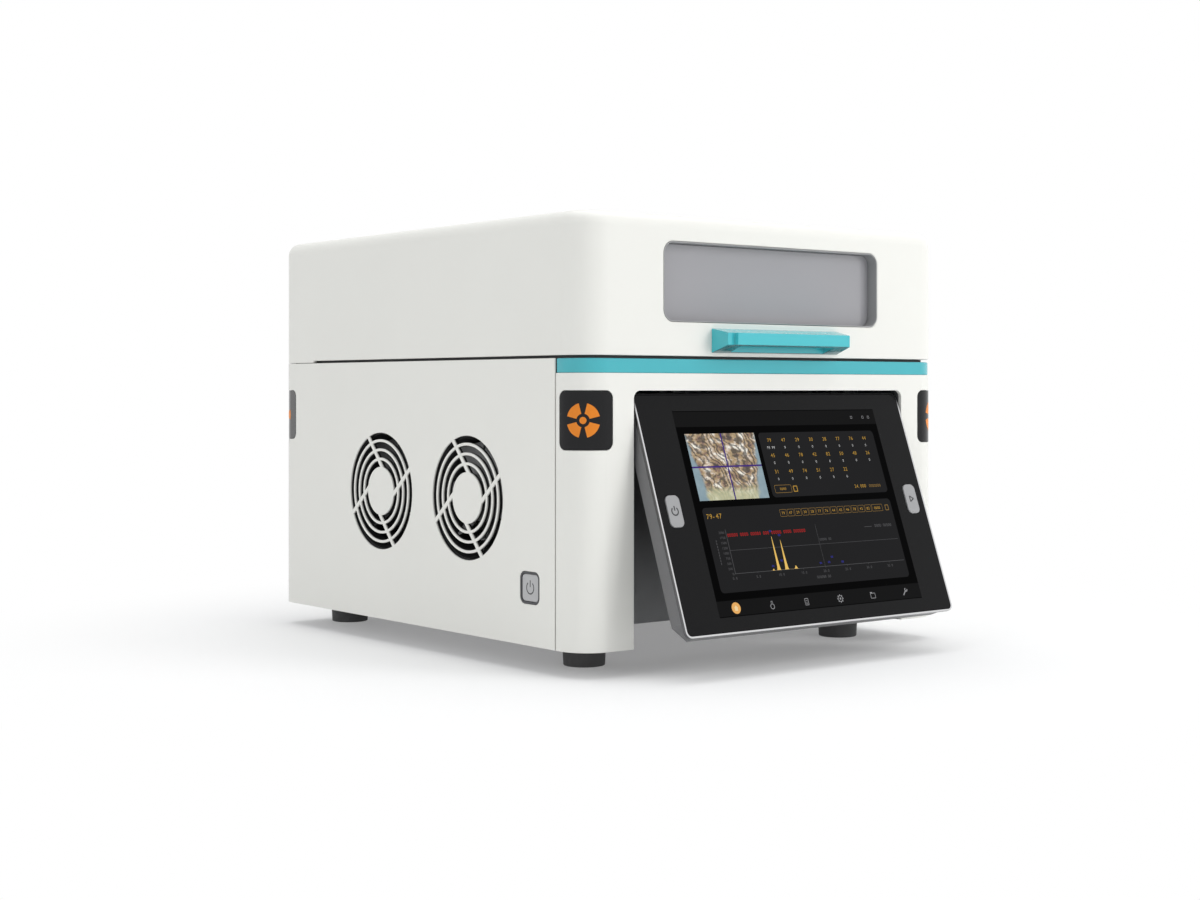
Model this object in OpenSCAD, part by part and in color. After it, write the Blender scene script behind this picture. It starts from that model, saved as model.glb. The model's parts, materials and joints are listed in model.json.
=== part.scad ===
// Benchtop gold tester. A casing with a hinged measuring lid, a touch display
// that tilts out of a bay in the front, two fans behind grilles in the left side
// and a measuring head under the deck. X runs to the right, Y to the back, Z up.

/* [Casing] */
// Width of the casing
casing_w = 356; // [340:1:380]
// Depth of the casing from its front plane to its rear face
casing_d = 410; // [400:1:440]
// Height of the base, from the lower edge of its walls to the deck
base_h = 198; // [194:1:212]
// Wall of the covers and panels
wall = 3; // [2.8:0.1:3.4]
// Radius of the two front corners
front_r = 23.5; // [20:0.5:27]
// Radius of the two rear corners
rear_r = 16; // [13:0.5:19]
// Height of the casing floor above the lower edge of the walls
floor_lift = 10; // [7:0.5:13]
// Thickness of the steel floor, posts' feet and bay lining
sheet_t = 2; // [1.5:0.1:2.5]
// Thickness of the deck plate
deck_t = 3; // [2.5:0.1:4]
// Distance from the front plane to the seam between front cover and side panel
seam_y = 28; // [27:0.5:33]
// Width of the open seams between panels
seam_gap = 1.2; // [0.4:0.1:1.4]
// Length of the side panels' return along the rear face
rear_return = 30; // [28:0.5:34]
// Height of the coloured trim band under the lid
trim_h = 10; // [7:0.5:13]
// Setback of the trim band from the casing's surface
trim_inset = 0.6; // [0.3:0.1:1.2]

/* [Corner covers] */
// Height of each corner cover
cover_h = 40; // [30:1:50]
// Reach of each corner cover along the front or rear face
cover_front = 27; // [25:0.5:28]
// Reach of each corner cover along the side
cover_side = 24; // [22:0.5:26]
// Thickness of the corner covers
cover_t = 2.2; // [1.6:0.1:2.4]
// Radius of the corner covers' ends
cover_r = 5.5; // [2:0.5:8]

/* [Feet] */
// Height of the feet below the casing walls
foot_h = 18; // [14:0.5:24]
// Radius of a foot at its top
foot_r = 16.2; // [13:0.2:16.4]
// Radius of a foot where it stands
foot_base_r = 14.8; // [11:0.2:15]
// Distance from the casing's side to the foot centres
foot_side = 51; // [48:1:58]
// Distance from the front plane to the front foot centres
foot_front = 62.5; // [62.5:0.5:72]
// Distance from the rear face to the rear foot centres
foot_rear = 25; // [24:1:40]
// Radius of the foot screws
foot_screw_r = 2.5; // [2:0.1:3]

/* [Lid] */
// Height of the lid
lid_h = 98; // [92:1:112]
// Gap between the deck and the lid
lid_gap = 2; // [1.8:0.1:3]
// Wall of the lid
lid_wall = 3.5; // [3:0.1:4.5]
// Radius of the lid's upper edges
lid_edge_r = 10; // [6:0.5:12]
// Length of the rear stretch where the lid comes down to the base
skirt_l = 53; // [45:1:60]
// Gap between that skirt and the base
skirt_gap = 0.4; // [0.3:0.1:0.8]
// Opening angle of the lid
lid_open = 82; // [60:1:84]
// Width of the viewing window
window_w = 212; // [190:1:230]
// Height of the viewing window
window_h = 56; // [48:1:60]
// Height of the window's lower edge above the lid's underside
window_rise = 23.6; // [21:0.2:28]
// Corner radius of the window
window_r = 8.5; // [5:0.5:12]
// Depth of the window pane behind the front
pane_depth = 8.4; // [6:0.2:10]
// Thickness of the leaded glass pane
pane_t = 6; // [5:0.5:7]

/* [Measuring chamber] */
// Distance from the casing's side to the chamber lining in the lid
chamber_side = 28; // [24:1:38]
// Depth of the chamber lining in the lid
chamber_d = 320; // [300:2:335]
// Radius of the sample stage
stage_r = 36; // [30:1:44]
// Radius of the measuring aperture
aperture_r = 6; // [4:0.5:8]
// Distance from the front plane to the aperture
aperture_y = 190; // [180:1:205]

/* [Lid handle] */
// Width of the handle where it meets the lid
handle_w = 124; // [112:1:136]
// Height of the handle where it meets the lid
handle_h = 17; // [15.5:0.5:18]
// Reach of the handle in front of the lid
handle_reach = 19; // [17:0.5:24]
// Height of the handle's front face
handle_face_h = 8.5; // [8:0.5:11]
// Height of the handle's lower edge above the lid's underside
handle_rise = 2.6; // [2.2:0.1:3.6]

/* [Lid hinges] */
// Radius of the hinge knuckles
knuckle_r = 4.5; // [4:0.1:5.5]
// Radius of the hinge pins
hinge_pin_r = 2; // [1.6:0.1:2.4]
// Width of one hinge
hinge_w = 60; // [48:1:75]
// Thickness of the hinge leaves
leaf_t = 2.5; // [2:0.1:3]
// Length of a hinge leaf beyond its knuckle
leaf_l = 26; // [22:1:32]
// Distance from the casing's side to the hinges' middles
hinge_side = 78; // [66:1:98]

/* [Display bay] */
// Width of the display bay
bay_w = 265; // [264:0.5:272]
// Depth of the display bay
bay_depth = 45; // [42:0.5:45]
// Height of the deck above the bay's ceiling
bay_head = 22; // [20:0.5:25]
// Radius of the bay's upper corners
bay_r = 5.5; // [3:0.5:9]

/* [Display] */
// Width of the display
disp_w = 262; // [256:0.5:263]
// Height of the display
disp_h = 172; // [166:0.5:174]
// Tilt of the display as it stands at rest
disp_tilt = 19.8; // [15:0.1:22]
// Further outward tilt that the display's hinge allows
disp_out = 10; // [5:0.5:10]
// Setback of the display's top edge behind the casing's front plane
disp_set = 4.7; // [3:0.1:5.5]
// Gap between the display's top edge and the bay's ceiling
disp_gap = 1.6; // [1.5:0.1:2.4]
// Distance from the display's sides to the active screen
screen_side = 32.5; // [30:0.5:36]
// Distance from the display's top edge to the active screen
screen_top = 13.4; // [13.2:0.1:15]
// Distance from the display's lower edge to the active screen
screen_low = 10.6; // [9.6:0.1:18]
// Depth of the display's edge frame
bezel_t = 3; // [2.6:0.1:3.4]
// Width of the bright rim round the glass
rim_w = 1.6; // [1.5:0.1:2.4]
// Corner radius of the display's front
disp_r = 5; // [4:0.5:8]
// Thickness of the touch glass
glass_t = 2; // [1.5:0.1:2.2]
// Depth of the display's straight sides behind its frame
side_t = 11; // [11:0.5:14]
// Depth of the display's tapered back
back_t = 20; // [14:0.5:22]

/* [Buttons] */
// Width of a display key
key_w = 12; // [10:0.5:13]
// Height of a display key
key_h = 22.5; // [18:0.5:28]
// Corner radius of a display key
key_r = 4; // [2:0.5:4.5]
// Distance from the display's edge to the key centres
key_side = 14; // [13:0.1:15]
// Distance from the display's top edge to the key centres
key_drop = 85; // [60:1:110]
// How far the keys stand out of the glass
key_proud = 0.6; // [0.3:0.1:1]
// Travel of a display key
key_travel = 0.8; // [0.4:0.1:1]
// Side of the square push button in the left panel
button_w = 22.3; // [19:0.1:25]
// Corner radius of the push button
button_r = 5; // [3:0.5:7]
// Width of the push button's dark frame
button_rim = 1.5; // [1.1:0.1:2.2]
// Travel of the push button
button_travel = 2; // [1:0.1:3]
// Distance from the front plane to the push button
button_y = 58; // [58:0.5:66]
// Height of the push button above the casing walls' lower edge
button_z = 40; // [36:0.5:44]

/* [Fans] */
// Side of a square fan
fan_w = 92; // [88:0.5:96]
// Thickness of a fan
fan_t = 25.4; // [22:0.2:28]
// Distance from the front plane to the front fan
fan_y = 135; // [133:0.5:140]
// Distance between the two fans' middles
fan_pitch = 118; // [110:1:125]
// Height of the fans above the casing walls' lower edge
fan_z = 98.5; // [92:0.5:104]
// Radius of the closed disc in a grille
grille_disc_r = 18.6; // [15:0.2:22]
// Width of a grille ring
grille_ring = 2; // [1.4:0.1:2.6]
// Width of a grille bar
grille_bar = 3; // [2:0.1:4]
// Slant of the grille's bars
grille_angle = 41; // [30:1:50]
// Distance from the middle of a grille to the line of each bar
grille_bar_off = 13.2; // [9:0.2:13.4]
// Number of ring slots in a grille
grille_slots = 4; // [3:1:5]
// Number of blades on a fan
blades = 7; // [5:1:9]

/* [Hidden] */

$fn = 96;
white = [0.94, 0.94, 0.92];
teal = [0.36, 0.81, 0.84];
gloss_black = [0.09, 0.09, 0.1];
rubber_black = [0.12, 0.12, 0.12];
mid_grey = [0.45, 0.45, 0.46];
dark_grey = [0.22, 0.22, 0.23];
steel = [0.68, 0.69, 0.7];
silver = [0.82, 0.82, 0.83];
brass = [0.78, 0.63, 0.32];
board_green = [0.12, 0.35, 0.2];
key_grey = [0.72, 0.72, 0.73];
pane_grey = [0.62, 0.62, 0.64];

// Clearance between parts that fit together and stay still
fit = 0.2;
// Radial clearance of a pin that turns in its bore
running = 0.05;
// Overrun of a cut past the face it opens
over = 1;
// Overlap that joins two pieces of one solid without showing
sliver = 0.01;

// Where the casing stands: centred over its own footprint, display and hinges included
disp_reach = disp_h * sin(disp_tilt) - disp_set;
hinge_gap = 0.3;
hinge_y = casing_d + knuckle_r + hinge_gap;
rear_reach = hinge_y + knuckle_r;
front_y = (disp_reach - rear_reach) / 2;

deck_under = base_h - deck_t;
floor_top = floor_lift + sheet_t;
lid_z = base_h + lid_gap;
lid_top = lid_z + lid_h;
hinge_z = base_h + lid_gap / 2;
half_w = casing_w / 2;
inner_x = half_w - wall;
chamber_w = casing_w - 2 * chamber_side;
hinge_pitch = casing_w - 2 * hinge_side;
screen_w = disp_w - 2 * screen_side;
screen_h = disp_h - screen_top - screen_low;

module at_casing() {
  translate([0, front_y, foot_h]) children();
}

// Plan of the casing, set in from its surface by inset
module plan(inset = 0) {
  w = casing_w - 2 * inset;
  d = casing_d - 2 * inset;
  rf = front_r - inset;
  rr = rear_r - inset;
  translate([0, inset]) {
    translate([rf - w / 2, 0]) square([w - 2 * rf, d]);
    translate([-w / 2, rf]) square([w, d - rf - rr]);
    translate([rr - w / 2, rf]) square([w - 2 * rr, d - rf]);
    for (side = [-1, 1]) {
      translate([side * (w / 2 - rf), rf]) circle(rf);
      translate([side * (w / 2 - rr), d - rr]) circle(rr);
    }
  }
}

module plan_ring(inset, thickness) {
  difference() {
    plan(inset);
    plan(inset + thickness);
  }
}

// Everything in front of depth y
module front_band(y) {
  translate([-casing_w, -casing_d]) square([2 * casing_w, casing_d + y]);
}

// A rectangle from its low corner, with round corners
module rounded(w, h, r) {
  translate([r, 0]) square([w - 2 * r, h]);
  translate([0, r]) square([w, h - 2 * r]);
  for (x = [r, w - r], y = [r, h - r]) translate([x, y]) circle(r);
}

// A rounded rectangle about its middle
module rounded_mid(w, h, r) {
  translate([-w / 2, -h / 2]) rounded(w, h, r);
}

// Stands a flat drawing up in the XZ plane and gives it depth towards +Y
module facing_front(depth) {
  translate([0, depth, 0]) rotate([90, 0, 0]) linear_extrude(depth) children();
}

// Stands a flat drawing up in the YZ plane and gives it depth towards +X
module facing_side(depth) {
  rotate([90, 0, 90]) linear_extrude(depth) children();
}

// A shaft along +X, +Y or +Z
module rod_x(r, l) {
  rotate([0, 90, 0]) cylinder(r = r, h = l);
}
module rod_y(r, l) {
  rotate([-90, 0, 0]) cylinder(r = r, h = l);
}

// ---- Base casing ----

bay_top = base_h - bay_head;
bay_back = bay_depth + sheet_t;
bay_side = bay_w / 2 + sheet_t;

module bay_outline(w, top, r) {
  translate([-w / 2, -base_h]) rounded(w, base_h + top, r);
}

// One corner cover as it wraps the front left corner, grown by grow in its own surface
module cover_wrap(grow, depth) {
  top = bay_top + grow;
  low = bay_top - cover_h - grow;
  reach = 3 * cover_r;
  intersection() {
    translate([0, 0, low]) linear_extrude(top - low) plan_ring(0, depth);
    translate([-half_w - reach, -over, low]) facing_front(casing_d / 2)
      rounded(cover_front + grow + reach, top - low, cover_r);
    translate([-half_w - over, -reach, low]) facing_side(half_w)
      rounded(cover_side + grow + reach, top - low, cover_r);
  }
}

// The same wrap at the rear, where the corner radius is smaller
module cover_wrap_rear(grow, depth) {
  top = bay_top + grow;
  low = bay_top - cover_h - grow;
  reach = 3 * cover_r;
  intersection() {
    translate([0, 0, low]) linear_extrude(top - low) plan_ring(0, depth);
    translate([-half_w - reach, casing_d / 2, low]) facing_front(casing_d)
      rounded(cover_front + grow + reach, top - low, cover_r);
    translate([-half_w - over, casing_d - cover_side - grow, low]) facing_side(half_w)
      rounded(cover_side + grow + reach, top - low, cover_r);
  }
}

module corner_cover_front_left() {
  color(gloss_black) at_casing() cover_wrap(0, cover_t - fit / 2);
}
module corner_cover_front_right() {
  color(gloss_black) at_casing() mirror([1, 0, 0]) cover_wrap(0, cover_t - fit / 2);
}
module corner_cover_rear_left() {
  color(gloss_black) at_casing() cover_wrap_rear(0, cover_t - fit / 2);
}
module corner_cover_rear_right() {
  color(gloss_black) at_casing() mirror([1, 0, 0]) cover_wrap_rear(0, cover_t - fit / 2);
}

module front_cover() {
  color(white) at_casing() difference() {
    linear_extrude(base_h - trim_h) intersection() {
      plan_ring(0, wall);
      front_band(seam_y);
    }
    translate([0, -over, 0]) facing_front(wall + 2 * over) bay_outline(bay_w, bay_top, bay_r);
    cover_wrap(fit, cover_t);
    mirror([1, 0, 0]) cover_wrap(fit, cover_t);
  }
}

module front_trim() {
  color(teal) at_casing() translate([0, 0, base_h - trim_h])
    linear_extrude(trim_h) intersection() {
      plan_ring(trim_inset, wall - trim_inset);
      front_band(seam_y);
    }
}

// Steel lining of the display bay: back wall, two cheeks and ceiling
module bay_lining() {
  color(dark_grey) at_casing() {
    translate([-bay_side, bay_depth, floor_lift])
      cube([2 * bay_side, sheet_t, bay_top + sheet_t - floor_lift]);
    translate([-bay_side, wall, bay_top]) cube([2 * bay_side, bay_depth - wall, sheet_t]);
    for (x = [-bay_side, bay_w / 2]) translate([x, wall, 0])
      cube([sheet_t, bay_back - wall, bay_top]);
  }
}

flange_h = 12;
flange_end = 70;

module foot_places() {
  for (side = [-1, 1], y = [foot_front, casing_d - foot_rear])
    translate([side * (half_w - foot_side), y]) children();
}

module base_tray() {
  color(steel) at_casing() difference() {
    union() {
      translate([0, 0, floor_lift]) linear_extrude(sheet_t) difference() {
        plan(wall + fit);
        translate([-bay_side - fit, -over]) square([2 * (bay_side + fit), bay_back + over]);
      }
      for (side = [0, 1]) mirror([side, 0, 0])
        translate([-inner_x + fit, flange_end, floor_top])
          cube([sheet_t, casing_d - 2 * flange_end, flange_h]);
    }
    translate([0, 0, floor_lift - over]) foot_places()
      cylinder(r = foot_screw_r + fit, h = sheet_t + 2 * over);
  }
}

post_w = 24;
post_d = 14;
front_post_y = 28;
rear_post_x = half_w - rear_r - post_w;
screw_r = 2;
screw_head_r = 3.6;
screw_head_t = 2.2;
screw_l = 9;
rear_screw_in = 5;
rear_screw_z = [30, 150];

module rear_post_screw_places() {
  for (side = [-1, 1], z = rear_screw_z)
    translate([side * (rear_post_x + rear_screw_in), 0, z]) children();
}

// Four uprights from the floor to the deck, the rear pair drilled for the rear panel's screws
module chassis_posts() {
  color(steel) at_casing() difference() {
    for (side = [0, 1]) mirror([side, 0, 0]) {
      translate([bay_side + fit, front_post_y, floor_top])
        cube([post_w, post_d, deck_under - floor_top]);
      translate([rear_post_x, casing_d - wall - post_d, floor_top])
        cube([post_w, post_d, deck_under - floor_top]);
    }
    translate([0, casing_d - screw_l - over, 0]) rear_post_screw_places()
      rod_y(screw_r + fit, screw_l);
  }
}

// ---- Side panels ----

grille_edge = 1;
grille_r = fan_w / 2 - grille_edge;

// Ring slots of a grille, crossed by four bars that pass beside the fan's middle
module grille_cut() {
  pitch = (grille_r - grille_disc_r + grille_ring) / grille_slots;
  difference() {
    for (i = [0 : grille_slots - 1]) difference() {
      circle(grille_disc_r + (i + 1) * pitch - grille_ring);
      circle(grille_disc_r + i * pitch);
    }
    for (turn = [0 : 90 : 270]) rotate(turn - grille_angle)
      translate([0, grille_bar_off - grille_bar / 2]) square([grille_r + over, grille_bar]);
  }
}

module fan_places() {
  for (y = [fan_y, fan_y + fan_pitch]) translate([0, y, fan_z]) children();
}

module side_wall() {
  linear_extrude(base_h) difference() {
    plan_ring(0, wall);
    front_band(seam_y + seam_gap);
    translate([rear_return - half_w, 0]) square([2 * casing_w, 2 * casing_d]);
  }
}

button_frame_t = 1.2;
button_ledge = 1;
button_hole_w = button_w - 2 * button_ledge;

module left_side_panel() {
  color(white) at_casing() difference() {
    side_wall();
    cover_wrap_rear(fit, cover_t);
    translate([-half_w - over, 0, 0]) fan_places() facing_side(wall + 2 * over) grille_cut();
    translate([-half_w - over, button_y, button_z]) {
      facing_side(button_frame_t + over)
        rounded_mid(button_w + 2 * fit, button_w + 2 * fit, button_r + fit);
      facing_side(wall + 2 * over)
        rounded_mid(button_hole_w, button_hole_w, button_r - button_ledge);
    }
  }
}

module right_side_panel() {
  color(white) at_casing() mirror([1, 0, 0]) difference() {
    side_wall();
    cover_wrap_rear(fit, cover_t);
  }
}

// ---- Rear panel ----

rear_panel_w = casing_w - 2 * rear_return - seam_gap;
vent_l = 40;
vent_w = 4;
vent_pitch = 9;
vents = 9;
vent_z = 120;
inlet_side = 86;
inlet_x = inlet_side - half_w;
inlet_z = 58;
inlet_w = 27.4;
inlet_h = 47;
inlet_hole_gap = 0.3;
port_side = 86;
port_x = half_w - port_side;
port_z = 50;
port_plate_w = 64;
port_plate_h = 26;
port_hole_w = 56;
port_hole_h = 20;
leaf_screw_edge = 9;

module leaf_screw_places() {
  for (hinge = [-1, 1], side = [-1, 1])
    translate([hinge * hinge_pitch / 2 + side * (hinge_w / 2 - leaf_screw_edge), 0, 0]) children();
}

knuckle_clear = 0.4;
leaf_start = knuckle_r + knuckle_clear;
leaf_screw_z = leaf_start + leaf_l / 2;

module rear_panel() {
  color(white) at_casing() difference() {
    translate([-rear_panel_w / 2, casing_d - wall, 0]) cube([rear_panel_w, wall, base_h]);
    translate([0, casing_d - wall - over, 0]) {
      for (i = [0 : vents - 1], side = [-1, 1])
        translate([side * (vent_l + vent_pitch) / 2, 0, vent_z + (i - (vents - 1) / 2) * vent_pitch])
          facing_front(wall + 2 * over) rounded_mid(vent_l, vent_w, vent_w / 2 - sliver);
      translate([inlet_x, 0, inlet_z]) facing_front(wall + 2 * over)
        square([inlet_w + 2 * inlet_hole_gap, inlet_h + 2 * inlet_hole_gap], center = true);
      translate([port_x, 0, port_z]) facing_front(wall + 2 * over)
        square([port_hole_w, port_hole_h], center = true);
      rear_post_screw_places() rod_y(screw_r + fit, wall + 2 * over);
      leaf_screw_places() translate([0, 0, hinge_z - leaf_screw_z])
        rod_y(screw_r + fit, wall + 2 * over);
    }
  }
}

// ---- Deck, stage and seal ----

stage_t = 1.5;
stage_boss_r = 15;
stage_boss_drop = 6;
seal_inset = 6;
seal_w = 5;
seal_gap = 0.3;

module deck_plate() {
  color(silver) at_casing() difference() {
    translate([0, 0, deck_under]) linear_extrude(deck_t) plan(wall + fit);
    translate([0, aperture_y, deck_under - over]) cylinder(r = stage_boss_r + fit, h = deck_t + 2 * over);
  }
}

module sample_stage() {
  color(mid_grey) at_casing() translate([0, aperture_y, 0]) difference() {
    union() {
      translate([0, 0, base_h]) cylinder(r = stage_r, h = stage_t);
      translate([0, 0, base_h - stage_boss_drop]) cylinder(r = stage_boss_r, h = stage_boss_drop);
    }
    translate([0, 0, base_h - stage_boss_drop - over])
      cylinder(r = aperture_r, h = stage_boss_drop + stage_t + 2 * over);
  }
}

module lid_seal() {
  color(rubber_black) at_casing() translate([0, 0, base_h])
    linear_extrude(lid_gap - seal_gap) plan_ring(seal_inset, seal_w);
}

// ---- Lid ----

// Side profile of the lid's upper edge, for a width or a depth
module arch_profile(w) {
  translate([-w / 2, 0]) {
    square([w, lid_h - lid_edge_r]);
    translate([lid_edge_r, 0]) square([w - 2 * lid_edge_r, lid_h]);
    for (x = [lid_edge_r, w - lid_edge_r]) translate([x, lid_h - lid_edge_r]) circle(lid_edge_r);
  }
}

module lid_outer() {
  intersection() {
    linear_extrude(lid_h) plan();
    facing_front(casing_d) arch_profile(casing_w);
    translate([-half_w, casing_d / 2, 0]) facing_side(casing_w) arch_profile(casing_d);
  }
}

lid_roof = 4;
lining_roof_z = lid_top - lid_roof;
window_z = lid_z + window_rise;

module window_outline(w_cut, r_cut) {
  translate([0, window_z + window_h / 2])
    rounded_mid(window_w - 2 * w_cut, window_h - 2 * w_cut, window_r - r_cut);
}

handle_screw_in = 8;
handle_screw_x = handle_w / 2 - handle_screw_in;
handle_z = lid_z + handle_rise + handle_h / 2;

module handle_screw_places() {
  for (side = [-1, 1]) translate([side * handle_screw_x, 0, handle_z]) children();
}

module lid_shell() {
  color(white) at_casing() difference() {
    union() {
      translate([0, 0, lid_z]) lid_outer();
      translate([0, 0, base_h + skirt_gap]) linear_extrude(lid_gap - skirt_gap) difference() {
        plan_ring(0, lid_wall);
        front_band(casing_d - skirt_l);
      }
    }
    translate([0, 0, lid_z - over]) linear_extrude(lining_roof_z - lid_z + over) plan(lid_wall);
    translate([0, -over, 0]) facing_front(lid_wall + 2 * over) window_outline(0, 0);
    translate([0, -over, 0]) handle_screw_places() rod_y(screw_r + fit, lid_wall + 2 * over);
    translate([0, casing_d - lid_wall - over, hinge_z + leaf_screw_z]) leaf_screw_places()
      rod_y(screw_r + fit, lid_wall + 2 * over);
  }
}

frame_wall = 1.1;
frame_lip = 3;
frame_lip_t = 2;
frame_back = pane_depth + pane_t + frame_lip_t;
lining_front = frame_back + fit;
lining_flange_t = 1.5;

lining_rear = lining_front + chamber_d;

// One of the lining's two end walls, between its side walls and under its roof
module lining_end_wall(y) {
  inset = sheet_t + fit;
  translate([-chamber_w / 2 + inset, y, lid_z])
    cube([chamber_w - 2 * inset, sheet_t, lining_roof_z - inset - lid_z]);
}

// Steel lining of the measuring chamber, open below: five plates with open seams between
// them, and a flange of four strips that closes the lid round the chamber
module lid_lining() {
  color(steel) at_casing() {
    translate([-chamber_w / 2, lining_front, lining_roof_z - sheet_t])
      cube([chamber_w, chamber_d, sheet_t]);
    for (x = [-chamber_w / 2, chamber_w / 2 - sheet_t]) translate([x, lining_front, lid_z])
      cube([sheet_t, chamber_d, lining_roof_z - sheet_t - fit - lid_z]);
    lining_end_wall(lining_rear - sheet_t);
    difference() {
      lining_end_wall(lining_front);
      translate([0, lining_front - over, 0]) facing_front(sheet_t + 2 * over)
        window_outline(frame_wall + frame_lip, frame_lip);
    }
    translate([0, 0, lid_z]) linear_extrude(lining_flange_t) intersection() {
      plan(lid_wall + fit);
      union() {
        translate([-casing_w, -fit]) square([2 * casing_w, lining_front]);
        translate([-casing_w, lining_rear + fit]) square([2 * casing_w, casing_d]);
        for (x = [-casing_w, chamber_w / 2 + fit]) translate([x, lining_front])
          square([casing_w - chamber_w / 2 - fit, chamber_d]);
      }
    }
  }
}

module window_frame() {
  color(mid_grey) at_casing() difference() {
    facing_front(frame_back) window_outline(fit, fit);
    translate([0, -over, 0]) facing_front(pane_depth + pane_t + over)
      window_outline(frame_wall, frame_wall);
    facing_front(frame_back + over) window_outline(frame_wall + frame_lip, frame_lip);
  }
}

module window_pane() {
  color(pane_grey) at_casing() translate([0, pane_depth, 0])
    facing_front(pane_t) window_outline(frame_wall + fit, frame_wall + fit);
}

handle_end = 1.5;
handle_step = 3.5;
handle_shoulder = 6.5;
handle_hollow_end = 16;
handle_hollow_wall = 3;
handle_back_t = 2;
handle_rim = 0.5;
handle_top_drop = 3.2;
handle_face_z = lid_z + handle_rise + handle_h - handle_top_drop - handle_face_h;

// Grip that tapers from the lid to a narrower front bar, hollow below for the fingers
module lid_handle() {
  base_z = lid_z + handle_rise;
  face_z = handle_face_z;
  front = -handle_reach + handle_step;
  bar_w = handle_w - 2 * (handle_end + handle_shoulder);
  hollow_w = handle_w - 2 * handle_hollow_end;
  hollow_d = handle_reach - handle_step - handle_hollow_wall - handle_back_t;
  color(teal) at_casing() difference() {
    union() {
      hull() {
        translate([-handle_w / 2, -handle_rim, base_z]) cube([handle_w, handle_rim, handle_h]);
        translate([handle_end - handle_w / 2, front, face_z])
          cube([handle_w - 2 * handle_end, handle_rim, handle_face_h]);
      }
      translate([-bar_w / 2, -handle_reach, face_z]) cube([bar_w, handle_step + over, handle_face_h]);
    }
    translate([-hollow_w / 2, front + handle_hollow_wall, base_z - over])
      cube([hollow_w, hollow_d, face_z - base_z + handle_face_h - handle_hollow_wall + over]);
    translate([0, -screw_l + lid_wall, 0]) handle_screw_places() rod_y(screw_r + fit / 2, screw_l);
  }
}

module screw(l) {
  rod_y(screw_r, l);
  translate([0, l, 0]) rod_y(screw_head_r, screw_head_t);
}

// Screws of the handle, from inside the lid, and of the hinge leaves on the lid
module lid_screws() {
  inside = 8;
  color(steel) at_casing() {
    translate([0, lid_wall - inside, 0]) handle_screw_places() screw(inside);
    translate([0, casing_d + leaf_t - screw_l, hinge_z + leaf_screw_z]) leaf_screw_places()
      screw(screw_l);
  }
}

magnet_r = 4;
magnet_t = 4;
magnet_side = 14;
magnet_y = 240;
switch_w = 12;
switch_t = 6;

module interlock_magnet() {
  color(silver) at_casing() translate([inner_x - magnet_side + wall, magnet_y, lid_z + lining_flange_t])
    cylinder(r = magnet_r, h = magnet_t);
}

module interlock_switch() {
  color(dark_grey) at_casing()
    translate([inner_x - magnet_side + wall - switch_w / 2, magnet_y - switch_w, deck_under - switch_t])
      cube([switch_w, 2 * switch_w, switch_t]);
}

// ---- Lid hinges ----

knuckle_l = hinge_w / 3;

module hinge_places() {
  for (side = [-1, 1]) translate([side * hinge_pitch / 2, 0, 0]) children();
}

// Knuckle and web from x, towards up (1 for the lid's leaf, -1 for the base's)
module knuckle(x, l, up) {
  translate([x, 0, 0]) {
    rod_x(knuckle_r, l);
    translate([0, casing_d - hinge_y, up > 0 ? 0 : -leaf_start - over])
      cube([l, hinge_y - casing_d, leaf_start + over]);
  }
}

module leaf_plate(up) {
  translate([-hinge_w / 2, casing_d - hinge_y, up > 0 ? leaf_start : -leaf_start - leaf_l])
    cube([hinge_w, leaf_t, leaf_l]);
}

module leaf_holes(up) {
  translate([0, casing_d - over, hinge_z + up * leaf_screw_z]) leaf_screw_places()
    rod_y(screw_r + fit, leaf_t + 2 * over);
}

module at_hinge_axis() {
  translate([0, hinge_y, hinge_z]) hinge_places() children();
}

module base_hinge_leaves() {
  color(steel) at_casing() difference() {
    at_hinge_axis() difference() {
      union() {
        leaf_plate(-1);
        knuckle(-hinge_w / 2, knuckle_l - knuckle_clear, -1);
        knuckle(hinge_w / 2 - knuckle_l + knuckle_clear, knuckle_l - knuckle_clear, -1);
      }
      translate([-hinge_w / 2 - over, 0, 0]) rod_x(hinge_pin_r + running, hinge_w + 2 * over);
    }
    leaf_holes(-1);
  }
}

module lid_hinge_leaves() {
  color(steel) at_casing() difference() {
    at_hinge_axis() difference() {
      union() {
        leaf_plate(1);
        knuckle(-knuckle_l / 2, knuckle_l, 1);
      }
      translate([-hinge_w / 2 - over, 0, 0]) rod_x(hinge_pin_r + running, hinge_w + 2 * over);
    }
    leaf_holes(1);
  }
}

pin_head_t = 1.5;
pin_head_r = 3.2;

module lid_hinge_pins() {
  color(silver) at_casing() at_hinge_axis() {
    translate([-hinge_w / 2, 0, 0]) rod_x(hinge_pin_r, hinge_w);
    for (x = [-hinge_w / 2 - pin_head_t, hinge_w / 2]) translate([x, 0, 0])
      rod_x(pin_head_r, pin_head_t);
  }
}

// ---- Feet ----

foot_top = foot_h + floor_lift;
foot_sink_r = 6;
foot_sink = 9;

module foot(side, y) {
  color(rubber_black) translate([side * (half_w - foot_side), y + front_y, 0]) difference() {
    cylinder(r1 = foot_base_r, r2 = foot_r, h = foot_top);
    translate([0, 0, -over]) cylinder(r = foot_screw_r + fit, h = foot_top + 2 * over);
    translate([0, 0, -over]) cylinder(r = foot_sink_r, h = foot_sink + over);
  }
}

module foot_front_left() {
  foot(-1, foot_front);
}
module foot_front_right() {
  foot(1, foot_front);
}
module foot_rear_left() {
  foot(-1, casing_d - foot_rear);
}
module foot_rear_right() {
  foot(1, casing_d - foot_rear);
}

module foot_screws() {
  head_t = 3;
  color(steel) translate([0, front_y, foot_sink]) foot_places() {
    cylinder(r = foot_screw_r, h = foot_top - foot_sink + 2 * sheet_t);
    translate([0, 0, -head_t]) cylinder(r = 2 * foot_screw_r, h = head_t);
  }
}

// ---- Fans ----

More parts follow.
